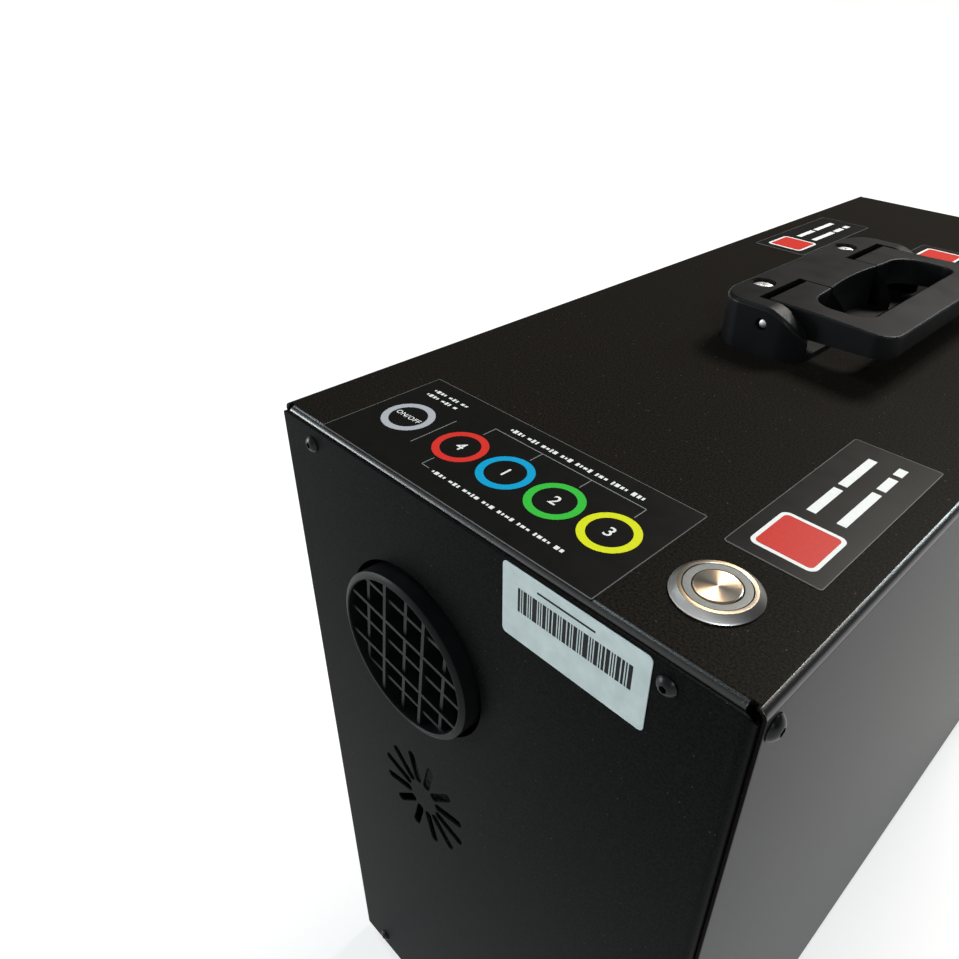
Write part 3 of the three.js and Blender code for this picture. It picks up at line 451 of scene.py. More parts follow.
def powder_coat(name, color, roughness, specular):
    """A fine-grained black powder coat with a few paler specks."""
    look = Look(name, color, roughness, specular=specular)
    grained = look.mottle(0.7, 0.6)
    cells = look.node("TexVoronoi", {"Vector": look.place, "Scale": 1 / (1.6 * MM)})
    chosen = ranged(look.tree, look.noise(2.1, 0.0), *SPECK_SHARE)
    near = ranged(look.tree, cells.outputs["Distance"], *SPECK_EDGE)
    specks = reckoned(look.tree, "MULTIPLY", chosen, near)
    look.set("Base Color", look.mix(specks, grained, PALE_SPECK))
    look.relief(look.noise(0.6, 1.5), 0.05, 0.55)
    return look.material


def moulded(name, color, roughness, grain=0.45, depth=0.03, specular=0.35):
    """A moulded plastic with a spark-eroded grain."""
    reliefs = [(grain, 2.0, depth, 0.6)]
    return finish(name, color, roughness, (6, 0.12), reliefs, (15, 0.04), specular=specular)


def rubber(name, color):
    return finish(name, color, 0.78, (3, 0.25), [(0.8, 3.0, 0.06, 0.5)], specular=0.3)


def brushed(name, color, roughness, along=(1, 1, 1)):
    """A metal with fine lines, stretched along the axes with a small scale."""
    look = Look(name, color, roughness, metallic=1.0)
    lines = look.noise(0.25, 3.0, look.mapped(scale=along))
    look.uneven_gloss(0.08, lines)
    darker = [c * 0.86 for c in color]
    look.set("Base Color", look.mix(ranged(look.tree, lines, *NOISE_SPAN), darker, color))
    look.relief(lines, 0.01, 0.4)
    return look.material


def spun_steel(name, color, glow, fanned, roughness=0.3):
    """The button's steel: the fine rings of the lathe throw the light out in fans, and fans of the glow
    colour are also painted into its colour, a painted reflection.
    """
    look = Look(name, color, roughness, metallic=1.0)
    look.set("Anisotropic", fanned)
    place = look.mapped(location=BUTTON)
    tangent = look.node("VectorMath", {0: place, 1: (0, 0, 1)}, operation="CROSS_PRODUCT")
    look.set("Tangent", tangent.outputs["Vector"])
    inputs = {"Vector": place, "Scale": 1 / (1.1 * MM), "Distortion": 1.5, "Detail Scale": 3.0}
    rings = look.node("TexWave", inputs, wave_type="RINGS", rings_direction="Z").outputs["Fac"]
    # Painted reflection: sectors round the axis take on the glow colour, standing in for the fanned
    # highlights.
    angle = look.node("TexGradient", {"Vector": place}, gradient_type="RADIAL").outputs["Fac"]
    fans = reckoned(look.tree, "PINGPONG", angle, 0.25)
    painted_fans = look.mix(ranged(look.tree, fans, 0.03, 0.2), color, glow)
    look.set("Base Color", look.mix(ranged(look.tree, rings, 0, 1, 0, 0.25), painted_fans, LATHE_RING))
    look.relief(rings, 0.004, 0.5)
    return look.material


def zinc_plate(name, color, roughness=0.3):
    reliefs = [(0.5, 2.0, 0.01, 0.4)]
    return finish(name, color, roughness, (2.5, 0.14), reliefs, (4, 0.08), metallic=1.0)


def print_film(name, color, roughness=0.36):
    """A thin printed film with a satin, slightly wavy face."""
    reliefs = [(0.35, 1.0, 0.006, 0.5), (9, 1.0, 0.02, 0.5)]
    return finish(name, color, roughness, (5, 0.08), reliefs, (8, 0.03), specular=0.065)


def ink(name, color):
    return finish(name, color, 0.42, (1.2, 0.05), [(0.3, 1.0, 0.004, 0.5)], specular=0.1)


BUTTON = middle_of("button_cap")
# One powder coat in four copies whose colours paint light and shade: the top's copy is lighter and
# warmer for the warm key light, the bends' copy darker and glossier so the bends show highlight strips
# over dark bands, the sides' and rear's copy cooler and glossier as a painted sheen, and the front
# panel's copy darker as painted shade.
lit_top_powder = powder_coat("powder_coat", (0.0115, 0.0099, 0.0081), 0.42, 0.01)
bend_highlight_powder = powder_coat("bend_highlight_powder_coat", (0.005, 0.005, 0.005), 0.32, 1.0)
cool_sheen_powder = powder_coat("cool_sheen_powder_coat", (0.0085, 0.0105, 0.0108), 0.38, 0.06)
shaded_panel_powder = powder_coat("shaded_panel_powder_coat", (0.0060, 0.0061, 0.0062), 0.42, 0.014)
film_black = print_film("film_black", (0.0075, 0.0072, 0.0068))
film_edge_highlight = print_film("film_edge_highlight", (0.14, 0.14, 0.14), 0.4)
label_face = print_film("label_face", (0.68, 0.77, 0.76), 0.42)
spun_cap = spun_steel("spun_cap", (0.74, 0.67, 0.58), (0.95, 0.62, 0.38), 0.85)
spun_bezel = spun_steel("spun_bezel", (0.4, 0.39, 0.37), (0.98, 0.96, 0.92), 0.5, 0.36)
# The lip's copy of the bezel steel is darker and warmer: painted shade that tones down its highlight,
# with a painted warm reflection.
lip_shaded_warm_steel = spun_steel("lip_shaded_warm_steel", (0.32, 0.27, 0.21), (0.5, 0.36, 0.22), 0.7, 0.45)
handle_plastic = moulded("handle_plastic", (0.0052, 0.0053, 0.0057), 0.42, 0.4, 0.025, 0.13)
duct_plastic = moulded("duct_plastic", (0.004, 0.0042, 0.0045), 0.45, 1.2, 0.02, 0.1)
fitting_plastic = moulded("fitting_plastic", (0.012, 0.0125, 0.013), 0.45)
casing_plastic = moulded("casing_plastic", (0.022, 0.023, 0.025), 0.5, 0.9, 0.06)
fan_plastic = moulded("fan_plastic", (0.03, 0.03, 0.032), 0.45, 0.8, 0.04)
zinc = zinc_plate("zinc_plate", (0.62, 0.61, 0.57))
bright_zinc = zinc_plate("bright_zinc", (0.93, 0.92, 0.89), 0.45)
pipe_steel = brushed("pipe_steel", (0.52, 0.50, 0.47), 0.34, (1, 0.05, 1))
pin_brass = brushed("socket_pins", (0.62, 0.52, 0.3), 0.3)
foot_rubber = rubber("foot_rubber", (0.014, 0.014, 0.014))
hose_rubber = rubber("hose_rubber", (0.013, 0.013, 0.0135))
pale_ink = ink("pale_ink", (0.72, 0.74, 0.74))
line_ink = ink("line_ink", (0.22, 0.23, 0.23))
dark_ink = ink("dark_ink", (0.008, 0.008, 0.009))
red_ink = ink("block_red", (0.50, 0.028, 0.02))
black_oxide = finish(
    "black_oxide", (0.005, 0.0052, 0.0056), 0.3, (1.5, 0.3), [(0.35, 2.0, 0.008, 0.5)],
    (1.2, 0.06), specular=0.2,
)
cast_aluminium = finish(
    "cast_aluminium", (0.46, 0.46, 0.47), 0.52, (2, 0.18), [(1.2, 4.0, 0.12, 0.7)], metallic=1.0
)
light_ring = finish(
    "light_ring", (0.2, 0.2, 0.19), 0.4, (1.0, 0.1), [(0.3, 1.0, 0.01, 0.5)], specular=0.4
)
tank_plastic = finish(
    "tank_plastic", (0.62, 0.6, 0.52), 0.45, (30, 0.07), [(4, 2.0, 0.1, 0.4)], specular=0.4
)
fuel_line = finish("fuel_line", (0.14, 0.26, 0.46), 0.3, (4, 0.08), [(2, 2.0, 0.02, 0.4)])

SLOT_LOOKS = {
    "case_powder": lit_top_powder,
    "foot_rubber": foot_rubber,
    "black_screw": black_oxide,
    "black_film": film_black,
    "pale_label": label_face,
    "stainless_steel": pipe_steel,
    "light_ring": light_ring,
    "zinc_steel": zinc,
    "handle_plastic": handle_plastic,
    "duct_plastic": duct_plastic,
    "casing_plastic": casing_plastic,
    "cast_aluminium": cast_aluminium,
    "fan_plastic": fan_plastic,
    "hose_rubber": hose_rubber,
    "tank_plastic": tank_plastic,
    "fitting_plastic": fitting_plastic,
    "fuel_line": fuel_line,
}


def dress_nodes():
    """Gives every CAD node the material of its slot in the record."""
    for name, slot in NODE_SLOTS.items():
        node = frame["nodes"][name]
        node.data.materials.clear()
        node.data.materials.append(SLOT_LOOKS[slot])


# ---- Folded case ----

FLAT_SHEET = 0.985  # a face belongs to a bend where no part of its normal is this large
OUTLET_HOLE = 34.5 * MM
VENT_CENTRE = (-28.0 * MM, TOP - 154.4 * MM)
VENT_REACH = (8.0 * MM, 24.2 * MM)
VENT_SLOT = 3.7 * MM
VENT_COUNT = 12
REAR_HOLES = {
    "intake_grille": 48.3 * MM,
    "exhaust_pipe": 13.5 * MM,
    "combustion_air_pipe": 13.5 * MM,
    "filler_cap": 16.3 * MM,
}
PIPE_MOUTHS = {
    "exhaust_pipe": Vector((-62.0 * MM, 0, 180.0 * MM)),
    "combustion_air_pipe": Vector((-8.0 * MM, 0, 180.0 * MM)),
}
SOCKET_HALF = (13.0 * MM, 9.0 * MM)
SOCKET_GAP = 0.3 * MM
FOOT_RECESS = 4.0 * MM  # radius and height of the recess round a foot's screw
FOOT_STEM = 2.1 * MM


def mark_painted_coat_copies(bm):
    """Gives the cover's bends the second copy of the coat, darker and glossier for painted highlight
    strips, and its sides the third, cooler copy for a painted sheen.
    """
    for face in bm.faces:
        if max(abs(part) for part in face.normal) < FLAT_SHEET:
            face.material_index = 1
        elif abs(face.normal.x) >= FLAT_SHEET:
            face.material_index = 2


def cover():
    """Top, sides and end flanges folded from one sheet, with a notch at each corner."""
    half_x = SIDE - BEND
    half_y = cover_high.y - MIDDLE - BEND
    flange_x = SIDE - RELIEF
    side_y = REAR - MIDDLE - SIDE_SETBACK
    bm = bmesh.new()
    bmesh.ops.create_grid(bm, x_segments=3, y_segments=1, size=1)
    for vert in bm.verts:
        across = half_x if abs(vert.co.x) > 0.5 else flange_x
        x = math.copysign(across, vert.co.x)
        vert.co = (x, MIDDLE + math.copysign(half_y, vert.co.y), TOP)
    for side in (-1, 1):
        edges = edges_where(bm, lambda p: abs(p.x - side * half_x) < TINY)
        last = fold(bm, edges, (side * half_x, MIDDLE, TOP - BEND), (0, side, 0))
        draw(bm, last, (0, 0, cover_low.z - TOP + BEND))
    for end in (-1, 1):
        y = MIDDLE + end * half_y
        on_edge = lambda p: abs(p.y - y) < TINY and abs(p.x) < flange_x + TINY and p.z > TOP - TINY
        last = fold(bm, edges_where(bm, on_edge), (0, y, TOP - BEND), (-end, 0, 0))
        draw(bm, last, (0, 0, BEND - FLANGE))
        on_side = lambda p: abs(p.y - y) < TINY and abs(p.x) > half_x - TINY
        draw(bm, edges_where(bm, on_side), (0, end * (side_y - half_y), 0))
    bm = thick_sheet(bm, lambda p: p.z > TOP - TINY, AXES["z"])
    mark_painted_coat_copies(bm)
    finished("cover_sheet", bm, [lit_top_powder, bend_highlight_powder, cool_sheen_powder], "cover", edge=EDGE)


def end_sheet(face, way):
    """An end panel's sheet, facing way along Y, with a return bend down each side."""
    outer = panel_high.x
    half_x = outer - BEND
    low, high = panel_low.z, panel_high.z
    bm = face_of(corners(-half_x, half_x, low, high), "y", face)
    for side in (-1, 1):
        edges = edges_where(bm, lambda p: abs(p.x - side * half_x) < TINY)
        last = fold(bm, edges, (side * half_x, face - way * BEND, low), (0, 0, -way * side))
        draw(bm, last, (0, -way * (RETURN - BEND), 0))
    for vert in bm.verts:
        reach = abs(vert.co.x) - outer + PANEL_CORNER
        if vert.co.z > high - TINY and reach > 0:
            vert.co.z -= PANEL_CORNER - math.sqrt(max(0.0, PANEL_CORNER**2 - reach**2))
    return thick_sheet(bm, lambda p: abs(p.y - face) < TINY, AXES["y"] * way)


def front_panel():
    """The front sheet, cut for the outlet and with a ring of vent slots."""
    outlet = middle_of("outlet_collar")
    through = (FRONT - SHEET, FRONT + 2 * SHEET)
    x, z = VENT_CENTRE
    inner, outer = VENT_REACH
    half = VENT_SLOT / 2
    cuts = [rod("y", OUTLET_HOLE, *through, outlet.x, outlet.z, 128)]
    for i in range(VENT_COUNT):
        slot = prism(corners(x + inner, x + outer, z - half, z + half, half * 0.98), "y", *through)
        cuts.append(moved(slot, about((x, 0, z), "y", 360 / VENT_COUNT * (i + 0.5))))
    bm = carved(end_sheet(FRONT, -1), *cuts)
    finished("front_panel_sheet", bm, shaded_panel_powder, "front_panel", edge=EDGE)


def rear_panel():
    """The rear sheet, cut for the grille, the pipes, the filler and the socket."""
    through = (REAR - 2 * SHEET, REAR + SHEET)
    cuts = []
    for node, radius in REAR_HOLES.items():
        place = PIPE_MOUTHS.get(node) or middle_of(node)
        cuts.append(rod("y", radius, *through, place.x, place.z, 96))
    socket = middle_of("power_socket")
    wide, tall = SOCKET_HALF
    outline = oblong(socket.x, socket.z, wide + SOCKET_GAP, tall + SOCKET_GAP)
    cuts.append(prism(outline, "y", *through))
    bm = carved(end_sheet(REAR, 1), *cuts)
    finished("rear_panel_sheet", bm, cool_sheen_powder, "rear_panel", edge=EDGE)


def feet():
    """Rubber feet, each with a recess round its screw."""
    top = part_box("base_tray")[0].z
    for corner in ("front_left", "front_right", "rear_left", "rear_right"):
        node = "foot_" + corner
        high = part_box(node)[1]
        centre = middle_of(node)
        outer = high.x - centre.x
        profile = [
            (0, FOOT_RECESS), (FOOT_RECESS, FOOT_RECESS), (FOOT_RECESS, 0),
            (outer - 2.5 * MM, 0), (outer - 1.5 * MM, 1 * MM), (outer, top),
            (FOOT_STEM, top), (FOOT_STEM, high.z), (0, high.z),
        ]
        bm = turned(profile, "z", centre.x, centre.y, 40)
        finished(node + "_rubber", bm, foot_rubber, node, edge=0.3 * MM)


# ---- Screws ----

HEAD_RISE = 0.58  # a head's height over its radius
HEAD_RIM = 0.3 * MM
SOCKET_SHARE = 0.38  # the hexagon's radius over the head's
DOME_STEPS = 8
FIRST_TURN = 0.4  # radians that a head in the middle is turned by
TURN_CHANGE = 1.7  # and how many more at the side, so that no two look alike
SCREW_SIDES = {  # the way that the screws run, and the turn that points a head out
    "front": ("y", "x", 90),
    "rear": ("y", "x", -90),
    "left": ("x", "y", -90),
    "right": ("x", "y", 90),
}


def button_head(radius, depth):
    """A button-head socket screw of a depth under its head, pointing down from the origin."""
    height = HEAD_RISE * radius
    shank = radius / 2
    socket = SOCKET_SHARE * radius
    centre = (socket**2 + height**2 - radius**2 - HEAD_RIM**2) / (2 * (height - HEAD_RIM))
    dome = math.hypot(radius, HEAD_RIM - centre)
    start = math.asin((HEAD_RIM - centre) / dome)
    end = math.asin((height - centre) / dome)
    profile = [(0, -depth), (shank, -depth), (shank, 0), (radius - 0.15 * MM, 0), (radius, 0.12 * MM)]
    for i in range(DOME_STEPS + 1):
        turn = start + (end - start) * i / DOME_STEPS
        profile.append((dome * math.cos(turn), centre + dome * math.sin(turn)))
    profile.append((0, height))
    bm = turned(profile, "z", segments=48)
    hexagon = rod("z", socket, height * 0.35, height + MM, 0, 0, 6)
    drilled = [(0, height * 0.15), (socket * 0.8, height * 0.4), (0, height * 0.5)]
    return carved(bm, hexagon, turned(drilled, "z", segments=12))


def case_screws():
    """Every case screw, its head out of the panel that it holds."""
    for node in frame["nodes"]:
        if "_screw_" not in node or node.startswith("handle"):
            continue
        side = node.split("_")[0]
        along, axis, degrees = SCREW_SIDES[side]
        low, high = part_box(node)
        place = (low + high) / 2
        radius = (high.z - low.z) / 2
        depth = getattr(high - low, along) - HEAD_RISE * radius
        if along == "y":
            place.y = FRONT if side == "front" else REAR
        else:
            place.x = -SIDE if side == "left" else SIDE
        spin = Matrix.Rotation(FIRST_TURN + TURN_CHANGE * place.x / SIDE, 4, AXES["z"])
        turn = Matrix.Rotation(math.radians(degrees), 4, AXES[axis])
        bm = moved(button_head(radius, depth), Matrix.Translation(place) @ turn @ spin)
        finished(node.replace("screw", "button_head"), bm, black_oxide, node, smooth=28)


# ---- Films and label ----

PRINT = 0.03 * MM  # how far a print stands over its film
LINE = 0.28 * MM
CUT_EDGE = 0.22 * MM  # width of the painted highlight along a film's cut edge
RING_OUTER = 9.3 * MM
RING_INNER = 6.74 * MM
RING_ROW = 27.0 * MM  # from the front panel's face to the rings' centres
RINGS = [  # a name, the place across, the ink's colour, the mark and its size in mm
    ("grey", -57.3 * MM, (0.37, 0.39, 0.43), "ON/OFF", 3.0),
    ("red", -30.4 * MM, (0.58, 0.030, 0.022), "4", 6.2),
    ("cyan", -9.6 * MM, (0.004, 0.30, 0.55), "1", 6.2),
    ("green", 11.1 * MM, (0.035, 0.44, 0.045), "2", 6.2),
    ("yellow", 31.8 * MM, (0.62, 0.66, 0.012), "3", 6.2),
]
STROKE = 0.008  # how far a mark's strokes are thickened, over its size
LETTER_GAP = 1.12
COMB = (-31.1, -9.4, 11.3, 32.2)  # mm across, the comb's teeth by the numbered rings
DASHES = (  # start, end, distance from the rings' row and height in mm
    (-66.0, -47.5, 19.2, 1.7),
    (-66.0, -50.5, 15.6, 1.7),
    (-27.0, 29.0, 19.6, 2.0),
    (-25.5, 29.5, -15.6, 1.5),
)
FILM_LENGTH = 79.5 * MM
FILM_WIDTH = 29.4 * MM
NOTICE_INSET = 4.6 * MM
NOTICE_BORDER = 1.3 * MM
NOTICE_BARS = ((0.30, (17, 21)), (0.62, (23, 9, 5)))  # share of the width, lengths in mm
LABEL_BARS = 33
LABEL_GAP = 1.0  # between bars, in widths of the thinnest


def film(name, low, high, node=None, corner=1.0 * MM):
    """A thin film with rounded corners and a painted highlight along its cut edge: a pale band round the
    top's rim and on its sides.
    """
    bm = prism(corners(low.x, high.x, low.y, high.y, corner), "z", low.z, high.z)
    top = max(bm.faces, key=lambda f: f.calc_center_median().z)
    rim = bmesh.ops.inset_region(bm, faces=[top], thickness=CUT_EDGE)["faces"]
    for face in bm.faces:
        # Painted highlight: the rim band and the cut sides take the pale edge colour.
        if face in rim or abs(face.normal.z) < 0.5:
            face.material_index = 1
    finished(name, bm, [film_black, film_edge_highlight], node)


def strips(name, look, start, rows, axis="z"):
    """Thin printed strips, each given by its corners across an axis."""
    bm = gathered([prism(corners(*row), axis, start, start + PRINT) for row in rows])
    finished(name, bm, look)


def lettering(name, text, size, x, y, z):
    """Plain characters lying on the top, centred on a point."""
    curve = bpy.data.curves.new(name, "FONT")
    curve.body = text
    curve.size = size
    curve.align_x = "CENTER"
    curve.align_y = "CENTER"
    curve.extrude = PRINT / 2
    curve.offset = size * STROKE
    curve.space_character = LETTER_GAP
    bm = moved(final_shape(added(name, curve)), Matrix.Translation((x, y, z + PRINT / 2)))
    finished(name, bm, pale_ink)


def legend():
    """The legend film: five coloured rings with their marks, fine lines and rows of dashes."""
    low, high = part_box("legend_film")
    film("legend_film_sheet", low, high, "legend_film", 0.4 * MM)
    z = high.z
    y = FRONT + RING_ROW
    for name, x, color, mark, size in RINGS:
        band = ring("z", RING_INNER, RING_OUTER, z, z + PRINT, x, y)
        finished("legend_ring_" + name, band, ink("ink_" + name, color))
        lettering("legend_mark_" + name, mark, size * MM, x, y, z)
    strips("legend_lines", line_ink, z, legend_lines(y))
    strips("legend_bars", pale_ink, z, dash_rows(y))


def upright(x, start, end):
    """A fine line along Y, its place across in mm."""
    return (x * MM, x * MM + LINE, start, end)


def level(start, end, y):
    """A fine line across, its ends in mm."""
    return (start * MM, end * MM, y, y + LINE)


def legend_lines(y):
    """An upright by the first ring, a comb past the other four and a hook by the second."""
    beam = y + 16.0 * MM
    foot = y - 15.5 * MM
    left, right = COMB[0], COMB[-1]
    rows = [upright(-44.0, y - 9.5 * MM, y + 10.0 * MM), level(left, right, beam)]
    rows += [upright(x, beam - 5.6 * MM, beam) for x in COMB]
    rows += [upright(left, foot, y - 10.4 * MM), level(left, -27.4, foot)]
    return rows


def dash_rows(y):
    """Rows of small pale dashes in the legend's margins, their widths and heights by turns."""
    rows = []
    for x, end, offset, height in DASHES:
        middle = y + offset * MM
        step = 0
        while x < end - 1:
            width = 0.75 + 0.35 * (step * 5 % 3)
            half = height * (0.55 + 0.15 * (step * 7 % 4)) * MM / 2
            rows.append((x * MM, (x + width) * MM, middle - half, middle + half))
            step += 1
            x += width + (1.9 if step % 7 in (0, 4) else 0.6)
    return rows


def notice(name, low, high, node=None):
    """A notice film: a red block with a pale border, and two rows of plain bars."""
    film(name, low, high, node)
    along_x = high.x - low.x > high.y - low.y
    wide = min(high.x - low.x, high.y - low.y)

    def patch(a0, a1, b0, b1, *corner):
        """A strip in the film's own axes: a across it and b along it."""
        if along_x:
            return (low.x + b0, low.x + b1, high.y - a1, high.y - a0, *corner)
        return (low.x + a0, low.x + a1, low.y + b0, low.y + b1, *corner)

    start, end = NOTICE_INSET, wide - NOTICE_INSET
    inner = (start + NOTICE_BORDER, end - NOTICE_BORDER)
    strips(name + "_border", pale_ink, high.z, [patch(start, end, start, end, 2.6 * MM)])
    strips(name + "_block", red_ink, high.z + PRINT, [patch(*inner, *inner, 1.6 * MM)])
    rows = []
    for share, lengths in NOTICE_BARS:
        across = wide * share
        b = end + 5.0 * MM
        for length in lengths:
            rows.append(patch(across, across + 3.0 * MM, b, b + length * MM))
            b += (length + 2.6) * MM
    strips(name + "_bars", pale_ink, high.z, rows)


def notices():
    """The notice film by the button, one by the left side and one behind the handle."""
    low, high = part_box("notice_film")
    notice("notice_film_sheet", low, high, "notice_film")
    for name, x, y, wide, long in (
        ("notice_film_left", -84.8 * MM, FRONT + 294.3 * MM, FILM_WIDTH, FILM_LENGTH),
        ("notice_film_rear", -19.0 * MM, FRONT + 336.0 * MM, FILM_LENGTH, FILM_WIDTH),
    ):
        notice(name, Vector((x, y, low.z)), Vector((x + wide, y + long, high.z)))


def front_label():
    """The pale label on the front panel, with a row of upright bars."""
    low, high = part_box("front_label")
    bm = prism(corners(low.x, high.x, low.z, high.z, 1.6 * MM), "y", low.y, high.y)
    finished("front_label_plate", bm, label_face, "front_label", edge=0.08 * MM)
    top, foot = TOP - 8.3 * MM, TOP - 16.6 * MM
    x, end = low.x + 6.0 * MM, high.x - 5.1 * MM
    weights = [1 + (i * i + 2 * i) % 3 + (i % 5 == 0) for i in range(LABEL_BARS)]
    unit = (end - x) / (sum(weights) + LABEL_GAP * (LABEL_BARS - 1))
    rows = []
    for weight in weights:
        rows.append((x, x + weight * unit, foot, top))
        x += (weight + LABEL_GAP) * unit
    rows.append((low.x + 13 * MM, low.x + 33 * MM, top + 2.2 * MM, top + 2.9 * MM))
    strips("front_label_bars", dark_ink, low.y - PRINT, rows, "y")


# ---- Push button ----

FLAT_LIP = 0.95  # a face whose normal rises this far is part of the flat lip
BEZEL_BORE = 9.1 * MM
BEZEL_THREAD = 10.9 * MM
BEZEL_LIP = 10.1 * MM
LIGHT_INNER = 6.7 * MM
LIGHT_OUTER = 8.85 * MM


def push_button():
    """Bezel, translucent ring and cap, turned about the button's axis."""
    x, y = BUTTON.x, BUTTON.y
    low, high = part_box("button_bezel")
    rim = high.x - x
    top = high.z
    profile = [
        (BEZEL_BORE, low.z), (BEZEL_THREAD, low.z), (BEZEL_THREAD, TOP),
        (rim - 0.25 * MM, TOP), (rim, TOP + 0.25 * MM), (rim, TOP + 0.55 * MM),
        (rim - 0.25 * MM, TOP + 0.85 * MM), (BEZEL_LIP + 0.2 * MM, top - 0.06 * MM),
        (BEZEL_LIP, top), (BEZEL_BORE + 0.1 * MM, top), (BEZEL_BORE, top - 0.15 * MM),
    ]
    bm = turned(profile, "z", x, y, 128)
    # The flat lip takes the darker, warmer copy of the steel: painted shade and a painted warm
    # reflection.
    for face in bm.faces:
        if face.normal.z > FLAT_LIP:
            face.material_index = 1
    finished("button_flange", bm, [spun_bezel, lip_shaded_warm_steel], "button_bezel", smooth=24)
    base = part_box("button_light_ring")[0].z
    glow = ring("z", LIGHT_INNER, LIGHT_OUTER, base, top - 0.1 * MM, x, y, 128)
    finished("button_glow_ring", glow, light_ring, "button_light_ring", edge=0.12 * MM)
    low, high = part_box("button_cap")
    reach = high.x - x
    profile = [
        (0, low.z), (reach, low.z), (reach, high.z - 0.35 * MM),
        (reach - 0.1 * MM, high.z - 0.12 * MM), (reach - 0.35 * MM, high.z), (0, high.z),
    ]
    cap = turned(profile, "z", x, y, 128)
    finished("button_face", cap, spun_cap, "button_cap", body="push_button", smooth=24)


# ---- Carry handle ----

base_low, base_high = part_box("handle_base")
bail_low, bail_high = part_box("handle_bail")
HANDLE_TOP = base_high.z
HANDLE_FLOOR = TOP + 2.5 * MM
HINGE_IN = 21.0 * MM
HINGE_OUT = 53.8 * MM
SPINE_RIGHT = -11.8 * MM
SPINE_THICK = 1.6 * MM
SPINE_HOLLOW = 4.5 * MM
SPINE_RECESS = 5.2 * MM
PIN_X = -4.6 * MM
PIN_Z = TOP + 12.7 * MM
PIN_RECESS = 2.5 * MM
PLAN_STRETCH = 1.3  # the base's corners are this much longer along Y than along X
LEFT_CORNER = 12.0 * MM
RIGHT_CORNER = 10.4 * MM
RIM = 1.8 * MM  # rounding of the base's upper rim
RIM_STEPS = 6
NOSE = ((-4.0, 20.0), (3.0, 20.0), (11.8, 13.2), (13.4, 6.0))
NOSE_STEPS = 16
WALL_CURVE = 138.6 * MM  # radius of the centre block's hollowed wall
WALL_X = 1.6 * MM
CLEAR = 5.0 * MM  # how far a cutter runs past what it cuts
BAIL_LEFT = -8.4 * MM
BARREL = 4.4 * MM
BARREL_BORE = 2.35 * MM
BLOCK_GAP = 0.3 * MM  # between a hinge block and the centre block
ARM_IN = 43.5 * MM
GRIP_OUT = 56.3 * MM


def mirrored(end, near, far):
    """Both ends of an interval at a distance from the handle's middle, in rising order."""
    return (MIDDLE + near, MIDDLE + far) if end > 0 else (MIDDLE - far, MIDDLE - near)


def nose():
    """The side view's curve from the flat top down to the right, as (x, height) points."""
    points = [Vector((x * MM, TOP + z * MM)) for x, z in NOSE]
    return interpolate_bezier(*points, NOSE_STEPS)


def height_at(curve, x):
    """The height of the base's side view at a place across it."""
    if x <= curve[0].x:
        return HANDLE_TOP
    for near, far in zip(curve, curve[1:]):
        if x <= far.x + TINY:
            return near.y + (far.y - near.y) * (x - near.x) / (far.x - near.x)
    return curve[-1].y


def base_body():
    """The base's outer shape: its plan drawn up to the side view's height, its rim rounded."""
    left, right = base_low.x, base_high.x
    half = (base_high.y - base_low.y) / 2 / PLAN_STRETCH
    plan = [
        (left, -half, LEFT_CORNER), (right, -half, RIGHT_CORNER),
        (right, half, RIGHT_CORNER), (left, half, LEFT_CORNER),
    ]
    stretch = Matrix.Translation((0, MIDDLE, 0)) @ Matrix.Scale(PLAN_STRETCH, 4, (0, 1, 0))
    bm = moved(face_of(plan, "z", TOP, 12), stretch)
    curve = nose()
    for point in curve[:-1]:
        bmesh.ops.bisect_plane(
            bm, geom=bm.verts[:] + bm.edges[:] + bm.faces[:], dist=TINY,
            plane_co=(point.x, 0, 0), plane_no=(1, 0, 0),
        )
    top = only(bmesh.ops.extrude_face_region(bm, geom=bm.faces[:])["geom"], BMFace)
    inward = 0
    for step in range(RIM_STEPS + 1):
        turn = math.pi / 2 * step / RIM_STEPS
        reach = RIM * (1 - math.cos(turn))
        if step:
            bmesh.ops.inset_region(
                bm, faces=top, thickness=reach - inward, use_even_offset=True, use_boundary=True
            )
        inward = reach
        for vert in {vert for face in top for vert in face.verts}:
            vert.co.z = height_at(curve, vert.co.x) - RIM + RIM * math.sin(turn)
    bmesh.ops.recalc_face_normals(bm, faces=bm.faces)
    return bm


def on_wall(p):
    """Whether a point is on the upper edge of the centre block's hollowed wall."""
    return p.z > HANDLE_TOP - 4 * MM and 1.5 * MM < p.x < 3.4 * MM and abs(p.y - MIDDLE) < HINGE_IN


def handle_base():
    """Cheeks, spine and centre block, hollowed for the bail's hinge blocks."""
    right = base_high.x + CLEAR
    above = HANDLE_TOP + CLEAR
    far = base_high.y - MIDDLE
    hollow = (SPINE_RIGHT - SPINE_HOLLOW, SPINE_RIGHT + MM)
    cutters = []
    for end, place in ((-1, "front"), (1, "rear")):
        along = mirrored(end, HINGE_IN, HINGE_OUT)
        screw = middle_of("handle_screw_" + place)
        cutters += [
            block(SPINE_RIGHT, right, *along, HANDLE_FLOOR, above),
            block(*hollow, *along, HANDLE_FLOOR, HANDLE_TOP - SPINE_THICK),
            rod("y", PIN_RECESS, *mirrored(end, far - CLEAR, far + MM), PIN_X, PIN_Z),
            rod("z", SPINE_RECESS, HANDLE_TOP - 2.6 * MM, above, screw.x, screw.y, 64),
        ]
    across = mirrored(1, -HINGE_IN, HINGE_IN)
    wall = rod("z", WALL_CURVE, HANDLE_FLOOR, above, WALL_X + WALL_CURVE, MIDDLE, 512)
    between = block(-10 * MM, right, *across, HANDLE_FLOOR, above)
    cutters.append(combined(wall, [between], "INTERSECT"))
    centre = block(SPINE_RIGHT - MM, WALL_X + 2 * MM, *across, HANDLE_FLOOR, HANDLE_TOP)
    bm = fused(base_body(), centre)
    for cutter in cutters:
        bm = carved(bm, cutter)
    soften(bm, 0.6 * MM, 4, 40, on_wall)
    finished("handle_base_moulding", bm, handle_plastic, "handle_base", smooth=26)


